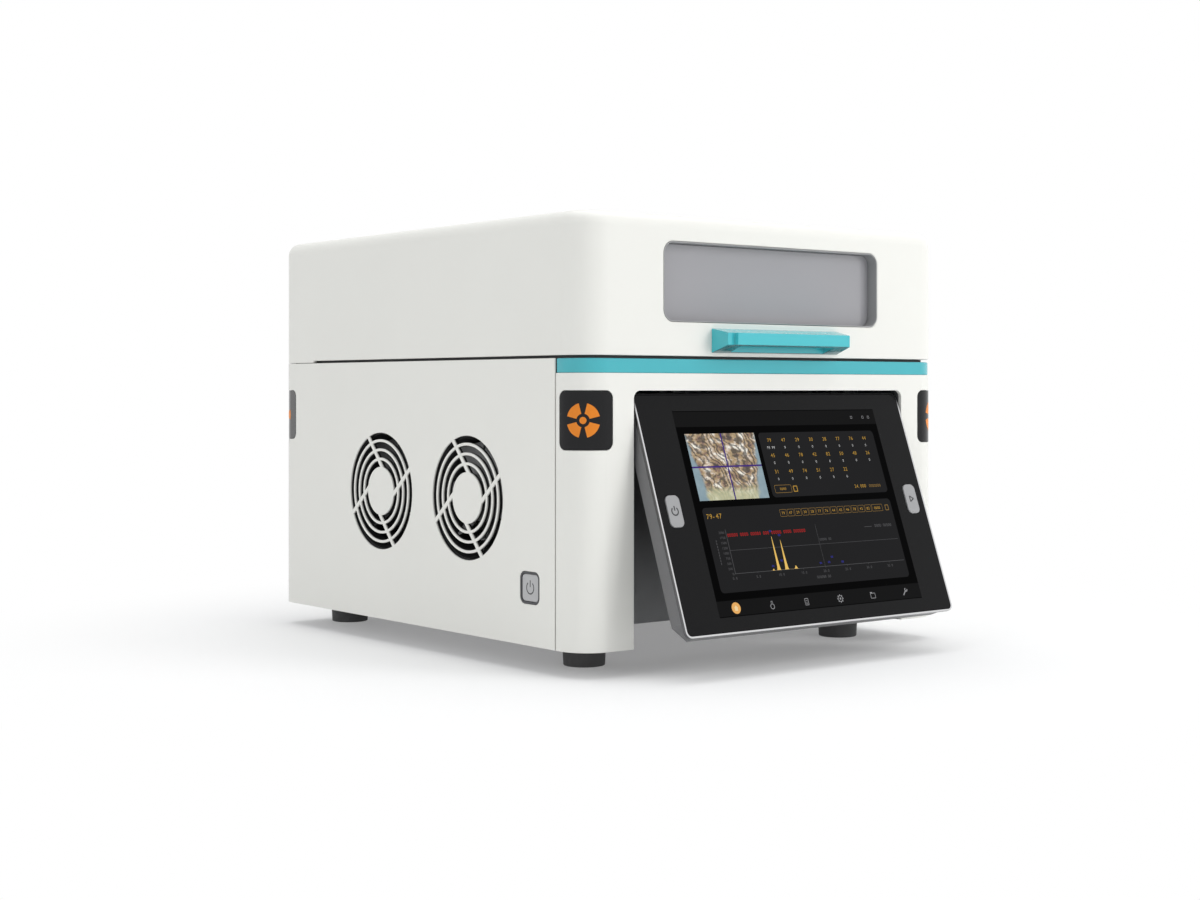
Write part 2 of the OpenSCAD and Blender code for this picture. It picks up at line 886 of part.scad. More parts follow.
fan_hub_r = 17.5;
fan_hub_t = 16;
fan_hub_gap = 0.6;
fan_hub_nose = 3.2;
fan_pin_r = 1.5;
fan_pin_l = 12;
fan_rim = 1.75;
fan_bore_r = fan_w / 2 - fan_rim;
fan_tip_gap = 2;
fan_strut_t = 3;
fan_strut_w = 4;
fan_hole_r = 2.15;
fan_hole_edge = 4.75;
fan_hole_pitch = fan_w - 2 * fan_hole_edge;
fan_corner_r = 4;
blade_t = 1.6;
blade_chord = 20;
blade_pitch = 38;

module at_fan(y) {
  at_casing() translate([-inner_x, y, fan_z]) children();
}

// Frame with its four struts and the shaft pin, open towards the panel
module fan_frame(y) {
  color(gloss_black) at_fan(y) {
    difference() {
      facing_side(fan_t) rounded_mid(fan_w, fan_w, fan_corner_r);
      translate([-over, 0, 0]) rod_x(fan_bore_r, fan_t + 2 * over);
      for (a = [-1, 1], b = [-1, 1]) translate([-over, a * fan_hole_pitch / 2, b * fan_hole_pitch / 2])
        rod_x(fan_hole_r, fan_t + 2 * over);
    }
    translate([fan_t - fan_strut_t, 0, 0]) {
      rod_x(fan_hub_r, fan_strut_t);
      for (turn = [45 : 90 : 315]) rotate([turn, 0, 0])
        translate([0, fan_hub_r - over, -fan_strut_w / 2])
          cube([fan_strut_t, fan_bore_r - fan_hub_r + 2 * over, fan_strut_w]);
      translate([-fan_pin_l, 0, 0]) rod_x(fan_pin_r, fan_pin_l + over);
    }
  }
}

// Rotor with pitched blades round a hub that turns on the frame's pin
module fan_rotor(y) {
  hub_x = fan_t - fan_strut_t - fan_hub_t - fan_hub_gap;
  tip_r = fan_bore_r - fan_tip_gap;
  color(dark_grey) at_fan(y) translate([hub_x, 0, 0]) difference() {
    union() {
      rod_x(fan_hub_r, fan_hub_t);
      intersection() {
        rod_x(tip_r, fan_hub_t);
        for (i = [0 : blades - 1]) rotate([i * 360 / blades, 0, 0])
          translate([fan_hub_t / 2, fan_hub_r - over, 0]) rotate([0, blade_pitch, 0])
            translate([-blade_chord / 2, 0, -blade_t / 2]) cube([blade_chord, tip_r, blade_t]);
      }
    }
    translate([fan_hub_nose, 0, 0]) rod_x(fan_pin_r + running, fan_hub_t);
  }
}

module fan_frame_front() {
  fan_frame(fan_y);
}
module fan_frame_rear() {
  fan_frame(fan_y + fan_pitch);
}
module fan_rotor_front() {
  fan_rotor(fan_y);
}
module fan_rotor_rear() {
  fan_rotor(fan_y + fan_pitch);
}

// ---- Push button in the left panel ----

button_cap_w = button_w - 2 * button_rim - 2 * fit;
button_sink = 0.5;
button_cap_t = 5;
button_body = 14;
button_body_w = button_hole_w - 2 * fit;

module at_button() {
  at_casing() translate([-half_w, button_y, button_z]) children();
}

module side_button_frame() {
  cup_w = button_cap_w + 2 * fit;
  color(dark_grey) at_button() difference() {
    union() {
      facing_side(button_frame_t) rounded_mid(button_w, button_w, button_r);
      facing_side(wall + button_body)
        rounded_mid(button_body_w, button_body_w, button_r - button_ledge - fit);
    }
    translate([-over, 0, 0]) facing_side(button_cap_t + button_sink + button_travel + fit + over)
      rounded_mid(cup_w, cup_w, button_r - button_rim + fit);
  }
}

module side_button() {
  color(key_grey) at_button() translate([button_sink, 0, 0]) facing_side(button_cap_t)
    rounded_mid(button_cap_w, button_cap_w, button_r - button_rim);
}

// ---- Rear sockets ----

inlet_flange = 2;
inlet_flange_t = 2;
inlet_body = 28;
socket_w = 24;
socket_h = 16.6;
socket_depth = 17;
socket_z = -9;
socket_r = 2.5;
blade_pin = [2, 12, 5];
rocker_w = 19;
rocker_h = 13;
rocker_z = 12;
rocker_swing = 14;
rocker_t = 8;
rocker_gap = 0.5;
rocker_dish_r = 12;
rocker_dish_y = 3;
rocker_axis_y = -3;
rocker_pin_r = 1;
rocker_pin_l = 1.5;
inlet_r = 2;
contacts = [[-7, 2.5], [7, 2.5], [0, -2.5]];

module at_inlet() {
  at_casing() translate([inlet_x, casing_d, inlet_z]) children();
}

// Mains socket with its three contacts and the well of the rocker above it
module mains_inlet() {
  color(gloss_black) at_inlet() {
    difference() {
      union() {
        translate([0, -inlet_body, 0]) facing_front(inlet_body)
          rounded_mid(inlet_w, inlet_h, inlet_r);
        facing_front(inlet_flange_t)
          rounded_mid(inlet_w + 2 * inlet_flange, inlet_h + 2 * inlet_flange, inlet_r + over);
      }
      translate([0, -socket_depth, socket_z]) facing_front(socket_depth + inlet_flange_t + over)
        rounded_mid(socket_w, socket_h, socket_r);
      translate([0, inlet_flange_t - rocker_h, rocker_z]) facing_front(rocker_h + over)
        rounded_mid(rocker_w + 2 * rocker_gap, rocker_h + 2 * rocker_gap, rocker_gap);
      translate([-rocker_w / 2 - rocker_pin_l - rocker_gap, rocker_axis_y, rocker_z])
        rod_x(rocker_pin_r + running, rocker_w + 2 * (rocker_pin_l + rocker_gap));
    }
    for (pin = contacts)
      translate([pin[0] - blade_pin[0] / 2, -socket_depth - over, socket_z + pin[1] - blade_pin[2] / 2])
        cube([blade_pin[0], blade_pin[1] + over, blade_pin[2]]);
  }
}

// Rocker cap on its own cross pin, tipped to one side as it rests
module power_rocker() {
  cap_h = rocker_h - 4 * rocker_gap;
  color(dark_grey) at_inlet() translate([0, rocker_axis_y, rocker_z]) rotate([rocker_swing / 2, 0, 0]) {
    difference() {
      translate([-rocker_w / 2, -rocker_t / 2, -cap_h / 2]) cube([rocker_w, rocker_t, cap_h]);
      translate([-rocker_w / 2 - over, rocker_dish_r + rocker_dish_y, 0])
        rod_x(rocker_dish_r, rocker_w + 2 * over);
    }
    translate([-rocker_w / 2 - rocker_pin_l, 0, 0]) rod_x(rocker_pin_r, rocker_w + 2 * rocker_pin_l);
  }
}

port_depth = 14;
network_x = -18;
network_w = 12;
flat_ports_x = [4, 19];
flat_port_w = 6;
flat_port_h = 13.2;

// Plate with a network socket and two flat sockets for a printer and a computer
module data_ports() {
  color(steel) at_casing() translate([port_x, casing_d - wall, port_z]) difference() {
    union() {
      translate([0, -port_depth, 0]) facing_front(port_depth + wall)
        square([port_hole_w - 2 * fit, port_hole_h - 2 * fit], center = true);
      translate([0, -sheet_t, 0]) facing_front(sheet_t)
        square([port_plate_w, port_plate_h], center = true);
    }
    translate([0, wall - port_depth + over, 0]) {
      translate([network_x, 0, 0]) facing_front(port_depth) square(network_w, center = true);
      for (x = flat_ports_x) translate([x, 0, 0]) facing_front(port_depth)
        square([flat_port_w, flat_port_h], center = true);
    }
  }
}

// Screws of the rear panel and of the hinge leaves on the base
module casing_screws() {
  color(steel) at_casing() {
    translate([0, casing_d - screw_l, 0]) rear_post_screw_places() screw(screw_l);
    translate([0, casing_d + leaf_t - screw_l, hinge_z - leaf_screw_z]) leaf_screw_places()
      screw(screw_l);
  }
}

// ---- Display ----

disp_pin_back = 9;
disp_pin_drop = 6;
disp_pin_r = 2;
disp_arm_r = 5;
disp_arm_t = 6;
notch_w = 9;
notch_x = 85;
notch_clear = 1.2;
ear_w = 5;
disp_top_z = bay_top - disp_gap;
disp_axis_y = disp_set + disp_pin_back * cos(disp_tilt) - disp_pin_drop * sin(disp_tilt);
disp_axis_z = disp_top_z - disp_pin_back * sin(disp_tilt) - disp_pin_drop * cos(disp_tilt);

// Display frame of reference: face at y = 0, top edge at z = 0, back towards +Y
module at_display() {
  at_casing() translate([0, disp_axis_y, disp_axis_z]) rotate([-disp_tilt, 0, 0])
    translate([0, -disp_pin_back, disp_pin_drop]) children();
}

module disp_outline(inset, r) {
  translate([inset - disp_w / 2, inset - disp_h]) rounded(disp_w - 2 * inset, disp_h - 2 * inset, r);
}

ledge_w = 2.4;
ledge_r = 1;
glass_y = 0.2;
key_clear = 0.3;

module display_frame() {
  color(silver) at_display() difference() {
    facing_front(bezel_t) disp_outline(0, disp_r);
    translate([0, -over, 0]) facing_front(glass_y + glass_t + over)
      disp_outline(rim_w - fit, disp_r - rim_w + fit);
    translate([0, -over, 0]) facing_front(bezel_t + 2 * over)
      disp_outline(rim_w + ledge_w, ledge_r);
  }
}

module key_places() {
  for (side = [-1, 1]) translate([side * (disp_w / 2 - key_side), 0, -key_drop]) children();
}

module display_glass() {
  color(gloss_black) at_display() translate([0, glass_y, 0]) difference() {
    facing_front(glass_t) disp_outline(rim_w, disp_r - rim_w);
    translate([0, -over, 0]) key_places() facing_front(glass_t + 2 * over)
      rounded_mid(key_w + 2 * key_clear, key_h + 2 * key_clear, key_r + key_clear);
  }
}

panel_t = 5;
panel_side = 3;
panel_border = 0.8;
panel_y = glass_y + glass_t;
board_y = 12;
board_t = 1.6;
board_h = 60;
board_side = 6;
boss_r = 3;
boss_side = 10;
boss_low = 5;

// Screen panel behind the glass, with the bosses that carry the board
module display_panel() {
  color(dark_grey) at_display() {
    translate([-screen_w / 2 - panel_side, panel_y, -screen_top - screen_h - panel_border])
      cube([screen_w + 2 * panel_side, panel_t, screen_h + 2 * panel_border]);
    translate([0, panel_y + panel_t - over, -key_drop]) for (x = [-1, 1], z = [-1, 1])
      translate([x * (screen_w / 2 - boss_side), 0, z * (board_h / 2 - boss_low)])
        rod_y(boss_r, board_y - panel_y - panel_t + over);
  }
}

module display_board() {
  color(board_green) at_display() translate([board_side - disp_w / 2, board_y, -key_drop - board_h / 2])
    cube([disp_w - 2 * board_side, board_t, board_h]);
}

key_l = 5.6;
key_flange_t = 1;
key_flange_gap = 0.1;
key_flange_w = 0.6;
key_flange_h = 1.5;
switch_side = 6;

module key_switches() {
  color(dark_grey) at_display() key_places()
    translate([-switch_side / 2, key_l + key_travel + fit, -switch_side / 2])
      cube([switch_side, board_y - key_l - key_travel - fit, switch_side]);
}

// A display key with the flange that keeps it behind the glass
module key(side) {
  color(key_grey) at_display() translate([side * (disp_w / 2 - key_side), 0, -key_drop]) {
    translate([0, -key_proud, 0]) facing_front(key_l + key_proud) rounded_mid(key_w, key_h, key_r);
    translate([0, panel_y + key_flange_gap, 0]) facing_front(key_flange_t)
      rounded_mid(key_w + 2 * key_flange_w, key_h + 2 * key_flange_h, key_r);
  }
}

module power_key() {
  key(-1);
}
module start_key() {
  key(1);
}

back_chamfer = 10;
back_wall = 2.2;
back_side_in = 22;
back_top_in = 16;
back_low_in = 30;
back_side_gap = 0.6;

module back_outline(inset) {
  w = disp_w / 2 - back_side_gap - inset;
  top = -back_side_gap - inset;
  low = -disp_h + back_side_gap + inset;
  c = back_chamfer;
  polygon([[-w, top], [w, top], [w, low + c], [w - c, low], [c - w, low], [-w, low + c]]);
}

module back_taper(inset, depth) {
  side = disp_w / 2 - back_side_in - inset;
  hull() {
    facing_front(sliver) back_outline(inset);
    translate([-side, depth, -disp_h + back_low_in + inset])
      cube([2 * side, sliver, disp_h - back_top_in - back_low_in - 2 * inset]);
  }
}

// Rear shell of the display, with ears either side of the notch for each hinge arm
module display_back() {
  straight = bezel_t + side_t;
  notch_low = -disp_pin_drop - disp_arm_r - notch_clear;
  color(mid_grey) at_display() difference() {
    union() {
      difference() {
        union() {
          translate([0, bezel_t, 0]) facing_front(side_t) back_outline(0);
          translate([0, straight - sliver, 0]) back_taper(0, back_t);
        }
        translate([0, bezel_t - over, 0]) facing_front(side_t + over) back_outline(back_wall);
        translate([0, straight - 2 * sliver, 0]) back_taper(back_wall, back_t - back_wall);
      }
      for (side = [-1, 1]) translate([side * notch_x - notch_w / 2 - ear_w, bezel_t, notch_low])
        cube([notch_w + 2 * ear_w, side_t, disp_arm_r + disp_pin_drop]);
    }
    for (side = [-1, 1]) {
      translate([side * notch_x - notch_w / 2, bezel_t - over, notch_low])
        cube([notch_w, back_t + side_t + 2 * over, disp_h]);
      translate([side * notch_x - notch_w / 2 - ear_w - over, disp_pin_back, -disp_pin_drop])
        rod_x(disp_pin_r + running, notch_w + 2 * (ear_w + over));
    }
  }
}

bracket_w = 24;
bracket_d = 20;
bracket_t = 2.5;
arm_d = 8;

// Brackets under the bay's ceiling: a plate, an arm down to the pivot and its pin
module display_hinge_brackets() {
  color(steel) at_casing() for (side = [-1, 1]) translate([side * notch_x, 0, 0]) {
    translate([-bracket_w / 2, disp_axis_y + disp_arm_r, bay_top - bracket_t])
      cube([bracket_w, bracket_d, bracket_t]);
    translate([-disp_arm_t / 2, disp_axis_y, disp_axis_z])
      cube([disp_arm_t, arm_d, bay_top - disp_axis_z]);
    translate([-disp_arm_t / 2, disp_axis_y, disp_axis_z]) rod_x(disp_arm_r, disp_arm_t);
    translate([-notch_w / 2 - ear_w, disp_axis_y, disp_axis_z])
      rod_x(disp_pin_r, notch_w + 2 * ear_w);
  }
}

// ---- Measuring head and electronics ----

head_w = 96;
head_d = 80;
head_h = 50;
head_z = deck_under - head_h;
beam_r = 9;
wheel_r = 26;
wheel_t = 2.5;
wheel_off = 20;
wheel_gap = 0.8;
wheel_rise = 22;
wheel_z = head_z + wheel_rise;
wheel_shaft_r = 2;
tube_r = 24;
tube_l = 84;
side_bore_r = 8;
side_bore_tilt = 50;
probe_r = side_bore_r - fit;
probe_start = 34;
probe_case_start = 76;
detector_w = 28;
detector_l = 34;
camera_w = 24;
camera_l = 20;
tube_flange_t = 6;
tube_flange_w = 56;
tube_front = 12;
motor_w = 28;
motor_h = 32;
motor_front = 7;
shaft_in_motor = 6;
filter_r = 4;
filters = 6;

module at_head() {
  at_casing() translate([0, aperture_y, 0]) children();
}

// Sloping bores for the detector and the camera, which look up at the aperture
module probe_axis(side) {
  translate([0, 0, base_h - deck_t - over]) rotate([0, side * (180 - side_bore_tilt), 0]) children();
}

module measuring_head() {
  color(brass) at_head() difference() {
    translate([-head_w / 2, -head_d / 2, head_z]) cube([head_w, head_d, head_h]);
    translate([0, 0, head_z - over]) cylinder(r = beam_r, h = head_h + 2 * over);
    translate([0, 0, deck_under - stage_boss_drop]) cylinder(r = stage_boss_r + fit, h = head_h);
    for (side = [-1, 1]) probe_axis(side) cylinder(r = side_bore_r, h = head_w);
    translate([0, wheel_off, wheel_z - wheel_gap])
      cylinder(r = wheel_r + wheel_gap, h = wheel_t + 2 * wheel_gap);
    translate([0, wheel_off, head_z - over])
      cylinder(r = wheel_shaft_r + wheel_gap, h = wheel_z - head_z + 2 * over);
  }
}

// A round nose in the head's bore, clear of the filter wheel, and the square case behind it
module probe(case_w, case_l) {
  translate([0, 0, probe_start]) cylinder(r = probe_r, h = probe_case_start - probe_start + over);
  translate([-case_w / 2, -case_w / 2, probe_case_start]) cube([case_w, case_w, case_l]);
}

module detector() {
  color(silver) at_head() probe_axis(1) probe(detector_w, detector_l);
}

module camera_module() {
  color(gloss_black) at_head() probe_axis(-1) probe(camera_w, camera_l);
}

// Wheel of beam filters on the motor's shaft, one filter in the beam
module filter_wheel() {
  color(brass) at_head() translate([0, wheel_off, 0]) {
    difference() {
      translate([0, 0, wheel_z]) cylinder(r = wheel_r, h = wheel_t);
      for (i = [0 : filters - 1]) rotate([0, 0, i * 360 / filters - 90])
        translate([wheel_off, 0, wheel_z - over]) cylinder(r = filter_r, h = wheel_t + 2 * over);
    }
    translate([0, 0, head_z - shaft_in_motor])
      cylinder(r = wheel_shaft_r, h = wheel_z - head_z + shaft_in_motor + over);
  }
}

module wheel_motor() {
  color(dark_grey) at_head() translate([0, wheel_off, 0]) difference() {
    translate([-motor_w / 2, -motor_front, head_z - motor_h]) cube([motor_w, motor_w, motor_h]);
    translate([0, 0, head_z - shaft_in_motor - over])
      cylinder(r = wheel_shaft_r + running, h = shaft_in_motor + 2 * over);
  }
}

// Tube in its flange under the head, set forward of the wheel's motor
module xray_tube() {
  color(steel) at_head() translate([0, tube_front - tube_r, 0]) {
    translate([0, 0, head_z - tube_l]) cylinder(r = tube_r, h = tube_l - tube_flange_t);
    translate([-tube_flange_w / 2, -tube_r, head_z - tube_flange_t])
      cube([tube_flange_w, 2 * tube_r, tube_flange_t]);
  }
}

hv_size = [84, 120, 46];
hv_side = 28;
hv_y = 90;
supply_size = [100, 84, 40];
supply_side = 32;
supply_foot_gap = 10;
board_size = [150, 96, 1.6];
main_board_side = 18;
main_board_rear = 26;
board_stand = 12;
stand_r = 3;
stand_in = 8;
chip_size = [34, 34, 8];
chip_place = [20, 20];
socket_row_size = [50, 12, 14];
socket_row_place = [80, 26];

module hv_supply() {
  color(silver) at_casing() translate([half_w - hv_side - hv_size[0], hv_y, floor_top]) cube(hv_size);
}

// Mains supply on the floor, in front of the rear left foot's screw
module mains_supply() {
  y = casing_d - foot_rear - supply_foot_gap - supply_size[1];
  color(silver) at_casing() translate([supply_side - half_w, y, floor_top]) cube(supply_size);
}

module main_board() {
  top = board_stand + board_size[2];
  left = half_w - main_board_side - board_size[0];
  front = casing_d - main_board_rear - board_size[1];
  color(board_green) at_casing() translate([left, front, floor_top]) {
    translate([0, 0, board_stand]) cube(board_size);
    for (x = [stand_in, board_size[0] - stand_in], y = [stand_in, board_size[1] - stand_in])
      translate([x, y, 0]) cylinder(r = stand_r, h = board_stand);
    translate([chip_place[0], chip_place[1], top]) cube(chip_size);
    translate([socket_row_place[0], socket_row_place[1], top]) cube(socket_row_size);
  }
}

base_tray();
chassis_posts();
front_cover();
front_trim();
bay_lining();
left_side_panel();
right_side_panel();
rear_panel();
deck_plate();
sample_stage();
lid_seal();
base_hinge_leaves();
lid_hinge_pins();
interlock_switch();
corner_cover_front_left();
corner_cover_front_right();
corner_cover_rear_left();
corner_cover_rear_right();
fan_frame_front();
fan_frame_rear();
side_button_frame();
foot_front_left();
foot_front_right();
foot_rear_left();
foot_rear_right();
foot_screws();
mains_inlet();
data_ports();
casing_screws();
display_hinge_brackets();
measuring_head();
xray_tube();
detector();
camera_module();
wheel_motor();
hv_supply();
mains_supply();
main_board();
lid_shell();
lid_lining();
window_frame();
window_pane();
lid_handle();
lid_screws();
lid_hinge_leaves();
interlock_magnet();
display_frame();
display_glass();
display_panel();
display_back();
display_board();
key_switches();
power_key();
start_key();
side_button();
power_rocker();
fan_rotor_front();
fan_rotor_rear();
filter_wheel();
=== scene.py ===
"""Looks of a benchtop gold tester: casing, measuring lid and tilting touch display."""

import json
import math

import bmesh
import bpy
from mathutils import Matrix, Vector


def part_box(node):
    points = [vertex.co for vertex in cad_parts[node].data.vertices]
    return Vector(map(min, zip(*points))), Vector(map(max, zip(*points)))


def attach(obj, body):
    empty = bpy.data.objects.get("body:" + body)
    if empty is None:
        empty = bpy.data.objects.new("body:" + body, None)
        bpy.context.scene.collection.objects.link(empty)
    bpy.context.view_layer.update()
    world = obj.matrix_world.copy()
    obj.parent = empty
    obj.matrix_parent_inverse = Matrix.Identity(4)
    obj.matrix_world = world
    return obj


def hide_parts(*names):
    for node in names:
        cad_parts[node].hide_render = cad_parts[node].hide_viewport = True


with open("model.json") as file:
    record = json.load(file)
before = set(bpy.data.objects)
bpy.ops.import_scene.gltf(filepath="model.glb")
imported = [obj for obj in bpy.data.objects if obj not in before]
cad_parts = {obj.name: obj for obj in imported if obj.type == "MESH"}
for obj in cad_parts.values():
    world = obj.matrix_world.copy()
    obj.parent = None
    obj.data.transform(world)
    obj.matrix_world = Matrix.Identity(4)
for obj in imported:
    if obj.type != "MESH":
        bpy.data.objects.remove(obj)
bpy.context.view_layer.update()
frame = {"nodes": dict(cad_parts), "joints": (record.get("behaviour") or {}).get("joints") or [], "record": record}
nodes = frame["nodes"]
joints = {j["name"]: j for j in frame["joints"]}
scene = bpy.context.scene

MM = 0.001

# ---- Sizes in millimetres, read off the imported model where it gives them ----

cover_lo, cover_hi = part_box("front_cover")
lid_lo, lid_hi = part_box("lid_shell")
panel_lo, panel_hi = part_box("left_side_panel")
HALF_W = cover_hi.x / MM
FRONT_Y = cover_lo.y / MM
FOOT_H = cover_lo.z / MM
CASING_D = (lid_hi.y - lid_lo.y) / MM
BASE_H = (panel_hi.z - panel_lo.z) / MM
LID_TOP = lid_hi.z / MM - FOOT_H

# Radii of the casing's upright corners
FRONT_R = 23.5
REAR_R = 16

LID_WALL = 3.5
LID_ROOF = 4
LID_EDGE_R = 10
LID_GAP = 2

# The lid reaches lower over this length at its rear
SKIRT_L = 53
SKIRT_GAP = 0.4


def casing(x, y, z):
    """A point of the casing's own frame, in millimetres, as a place in metres."""
    return Vector((x, y + FRONT_Y, z + FOOT_H)) * MM


# The display's pivot, and where it is seen from the middle of the face's top edge
pivot = Vector(joints["display_tilt"]["pos_m"])
tilt = math.radians(joints["display_tilt"]["range_deg"][1])
lean = Matrix.Rotation(-tilt, 3, "X")
PIN_BACK = 9
PIN_DROP = 6


def display(x, y, z):
    """A point of the display's frame: face at y 0, top edge at z 0, back towards +y."""
    return pivot + lean @ (Vector((x, y - PIN_BACK, z + PIN_DROP)) * MM)


display_out = lean @ Vector((0, -1, 0))

# ---- Shader helpers ----


def new_material(name):
    mat = bpy.data.materials.new(name)
    mat.use_nodes = True
    tree = mat.node_tree
    tree.nodes.clear()
    return mat, tree


def link(tree, a, b):
    tree.links.new(a, b)


def node(tree, kind, **settings):
    made = tree.nodes.new(kind)
    for key, value in settings.items():
        setattr(made, key, value)
    return made


def feed(tree, socket, value):
    """Sets a socket to a number or colour, or links it to another socket."""
    if isinstance(value, (int, float, tuple)):
        socket.default_value = value
    else:
        link(tree, value, socket)


def noise(tree, vector, scale, detail=2.0, rough=0.5):
    made = node(tree, "ShaderNodeTexNoise")
    made.inputs["Detail"].default_value = detail
    made.inputs["Roughness"].default_value = rough
    feed(tree, made.inputs["Scale"], scale)
    link(tree, vector, made.inputs["Vector"])
    return made.outputs["Fac"]


def ranged(tree, value, low, high, to_low, to_high, smooth=False):
    made = node(tree, "ShaderNodeMapRange")
    if smooth:
        made.interpolation_type = "SMOOTHSTEP"
    link(tree, value, made.inputs["Value"])
    feed(tree, made.inputs["From Min"], low)
    feed(tree, made.inputs["From Max"], high)
    feed(tree, made.inputs["To Min"], to_low)
    feed(tree, made.inputs["To Max"], to_high)
    return made.outputs[0]


def maths(tree, operation, a, b=0.0):
    made = node(tree, "ShaderNodeMath", operation=operation)
    feed(tree, made.inputs[0], a)
    feed(tree, made.inputs[1], b)
    return made.outputs[0]


def blend(tree, factor, a, b, mode="MIX"):
    made = node(tree, "ShaderNodeMix", data_type="RGBA", blend_type=mode)
    feed(tree, made.inputs[0], factor)
    feed(tree, made.inputs[6], a)
    feed(tree, made.inputs[7], b)
    return made.outputs[2]


def grey_of(tree, value):
    """A grey colour from one value."""
    made = node(tree, "ShaderNodeCombineColor")
    for socket in made.inputs[:3]:
        link(tree, value, socket)
    return made.outputs[0]


def object_place(tree):
    return node(tree, "ShaderNodeTexCoord").outputs["Object"]


# ---- Camera, backdrop, floor and light ----

camera = bpy.data.objects.new("camera", bpy.data.cameras.new("camera"))
scene.collection.objects.link(camera)
camera.location = (-0.9339, FRONT_Y * MM - 0.9788, 0.1949)
camera.rotation_euler = (math.radians(90), 0, math.radians(-38.26))
camera.data.sensor_width = 36
camera.data.lens = 55.83
camera.data.shift_y = -0.0506
camera.data.clip_start = 0.05
camera.data.clip_end = 60
scene.camera = camera
scene.view_settings.view_transform = "Standard"


def sent_rays(tree):
    """1 for rays that see the backdrop directly, in a mirror or through glass."""
    path = node(tree, "ShaderNodeLightPath").outputs
    first = maths(tree, "MAXIMUM", path["Is Camera Ray"], path["Is Transmission Ray"])
    return maths(tree, "MAXIMUM", first, path["Is Glossy Ray"])


def make_world():
    """Soft studio light on the object, and plain white where the backdrop is seen."""
    world = bpy.data.worlds.new("studio")
    scene.world = world
    world.use_nodes = True
    tree = world.node_tree
    tree.nodes.clear()
    soft = node(tree, "ShaderNodeBackground")
    soft.inputs["Color"].default_value = (0.96, 0.98, 1, 1)
    soft.inputs["Strength"].default_value = 0.52
    seen = node(tree, "ShaderNodeBackground")
    seen.inputs["Color"].default_value = (1, 1, 1, 1)
    seen.inputs["Strength"].default_value = 1
    mix = node(tree, "ShaderNodeMixShader")
    out = node(tree, "ShaderNodeOutputWorld")
    link(tree, sent_rays(tree), mix.inputs[0])
    link(tree, soft.outputs[0], mix.inputs[1])
    link(tree, seen.outputs[0], mix.inputs[2])
    link(tree, mix.outputs[0], out.inputs["Surface"])


def make_floor():
    """A pale floor that keeps the soft shadow and runs out into the white backdrop."""
    mat, tree = new_material("floor_paper")
    place = object_place(tree)
    length = node(tree, "ShaderNodeVectorMath", operation="LENGTH")
    link(tree, place, length.inputs[0])
    # Near the object a fifth of plain white is mixed in, painted light that lightens its shadow; further out the
    # share grows to all white backdrop
    backdrop_and_painted_light = ranged(tree, length.outputs["Value"], 0.2, 0.55, 0.2, 1.0, True)
    paper = node(tree, "ShaderNodeBsdfDiffuse")
    shade = ranged(tree, noise(tree, place, 220), 0.0, 1.0, 0.93, 0.95)
    link(tree, shade, paper.inputs["Color"])
    white = node(tree, "ShaderNodeEmission")
    mix = node(tree, "ShaderNodeMixShader")
    out = node(tree, "ShaderNodeOutputMaterial")
    link(tree, maths(tree, "MULTIPLY", backdrop_and_painted_light, sent_rays(tree)), mix.inputs[0])
    link(tree, paper.outputs[0], mix.inputs[1])
    link(tree, white.outputs[0], mix.inputs[2])
    link(tree, mix.outputs[0], out.inputs["Surface"])
    bm = bmesh.new()
    bmesh.ops.create_circle(bm, cap_ends=True, segments=96, radius=6)
    mesh = bpy.data.meshes.new("floor")
    bm.to_mesh(mesh)
    bm.free()
    floor = bpy.data.objects.new("floor", mesh)
    scene.collection.objects.link(floor)
    mesh.materials.append(mat)


def lamp(name, place, aim, size, power):
    data = bpy.data.lights.new(name, "AREA")
    data.shape = "RECTANGLE"
    data.size, data.size_y = size
    data.energy = power
    obj = bpy.data.objects.new(name, data)
    scene.collection.objects.link(obj)
    obj.location = place
    obj.rotation_euler = (Vector(aim) - Vector(place)).to_track_quat("-Z", "Y").to_euler()
    return obj


make_world()
make_floor()
key_lamp = lamp("key", (1.1, -1.9, 1.0), (0, 0, 0.15), (1.1, 1.3), 21.5)
key_lamp.visible_glossy = False
lamp("top", (0.1, 0.1, 2.1), (0, 0, 0.1), (2.2, 2.2), 23)
lamp("side", (-2.1, -0.3, 1.1), (0, 0, 0.15), (1.4, 1.0), 6.5)

# ---- Shader node groups ----

FLOAT, COLOUR = "NodeSocketFloat", "NodeSocketColor"


def group(name, inputs, outputs):
    made = bpy.data.node_groups.new(name, "ShaderNodeTree")
    for label, kind, value in inputs:
        socket = made.interface.new_socket(label, in_out="INPUT", socket_type=kind)
        socket.default_value = value
    for label, kind in outputs:
        made.interface.new_socket(label, in_out="OUTPUT", socket_type=kind)
    return made, node(made, "NodeGroupInput").outputs, node(made, "NodeGroupOutput").inputs


def grain_group():
    """Fine skin of paint or plastic: a roughness that wanders and a height for the bump."""
    made, given, out = group(
        "fine_grain",
        [("Scale", FLOAT, 900.0), ("Low", FLOAT, 0.3), ("High", FLOAT, 0.4)],
        [("Roughness", FLOAT), ("Height", FLOAT)],
    )
    place = object_place(made)
    fine = noise(made, place, given["Scale"], 3, 0.55)
    broad = noise(made, place, 14, 4, 0.6)
    both = maths(made, "ADD", maths(made, "MULTIPLY", fine, 0.35), maths(made, "MULTIPLY", broad, 0.65))
    link(made, ranged(made, both, 0.3, 0.7, given["Low"], given["High"]), out[0])
    link(made, fine, out[1])
    return made


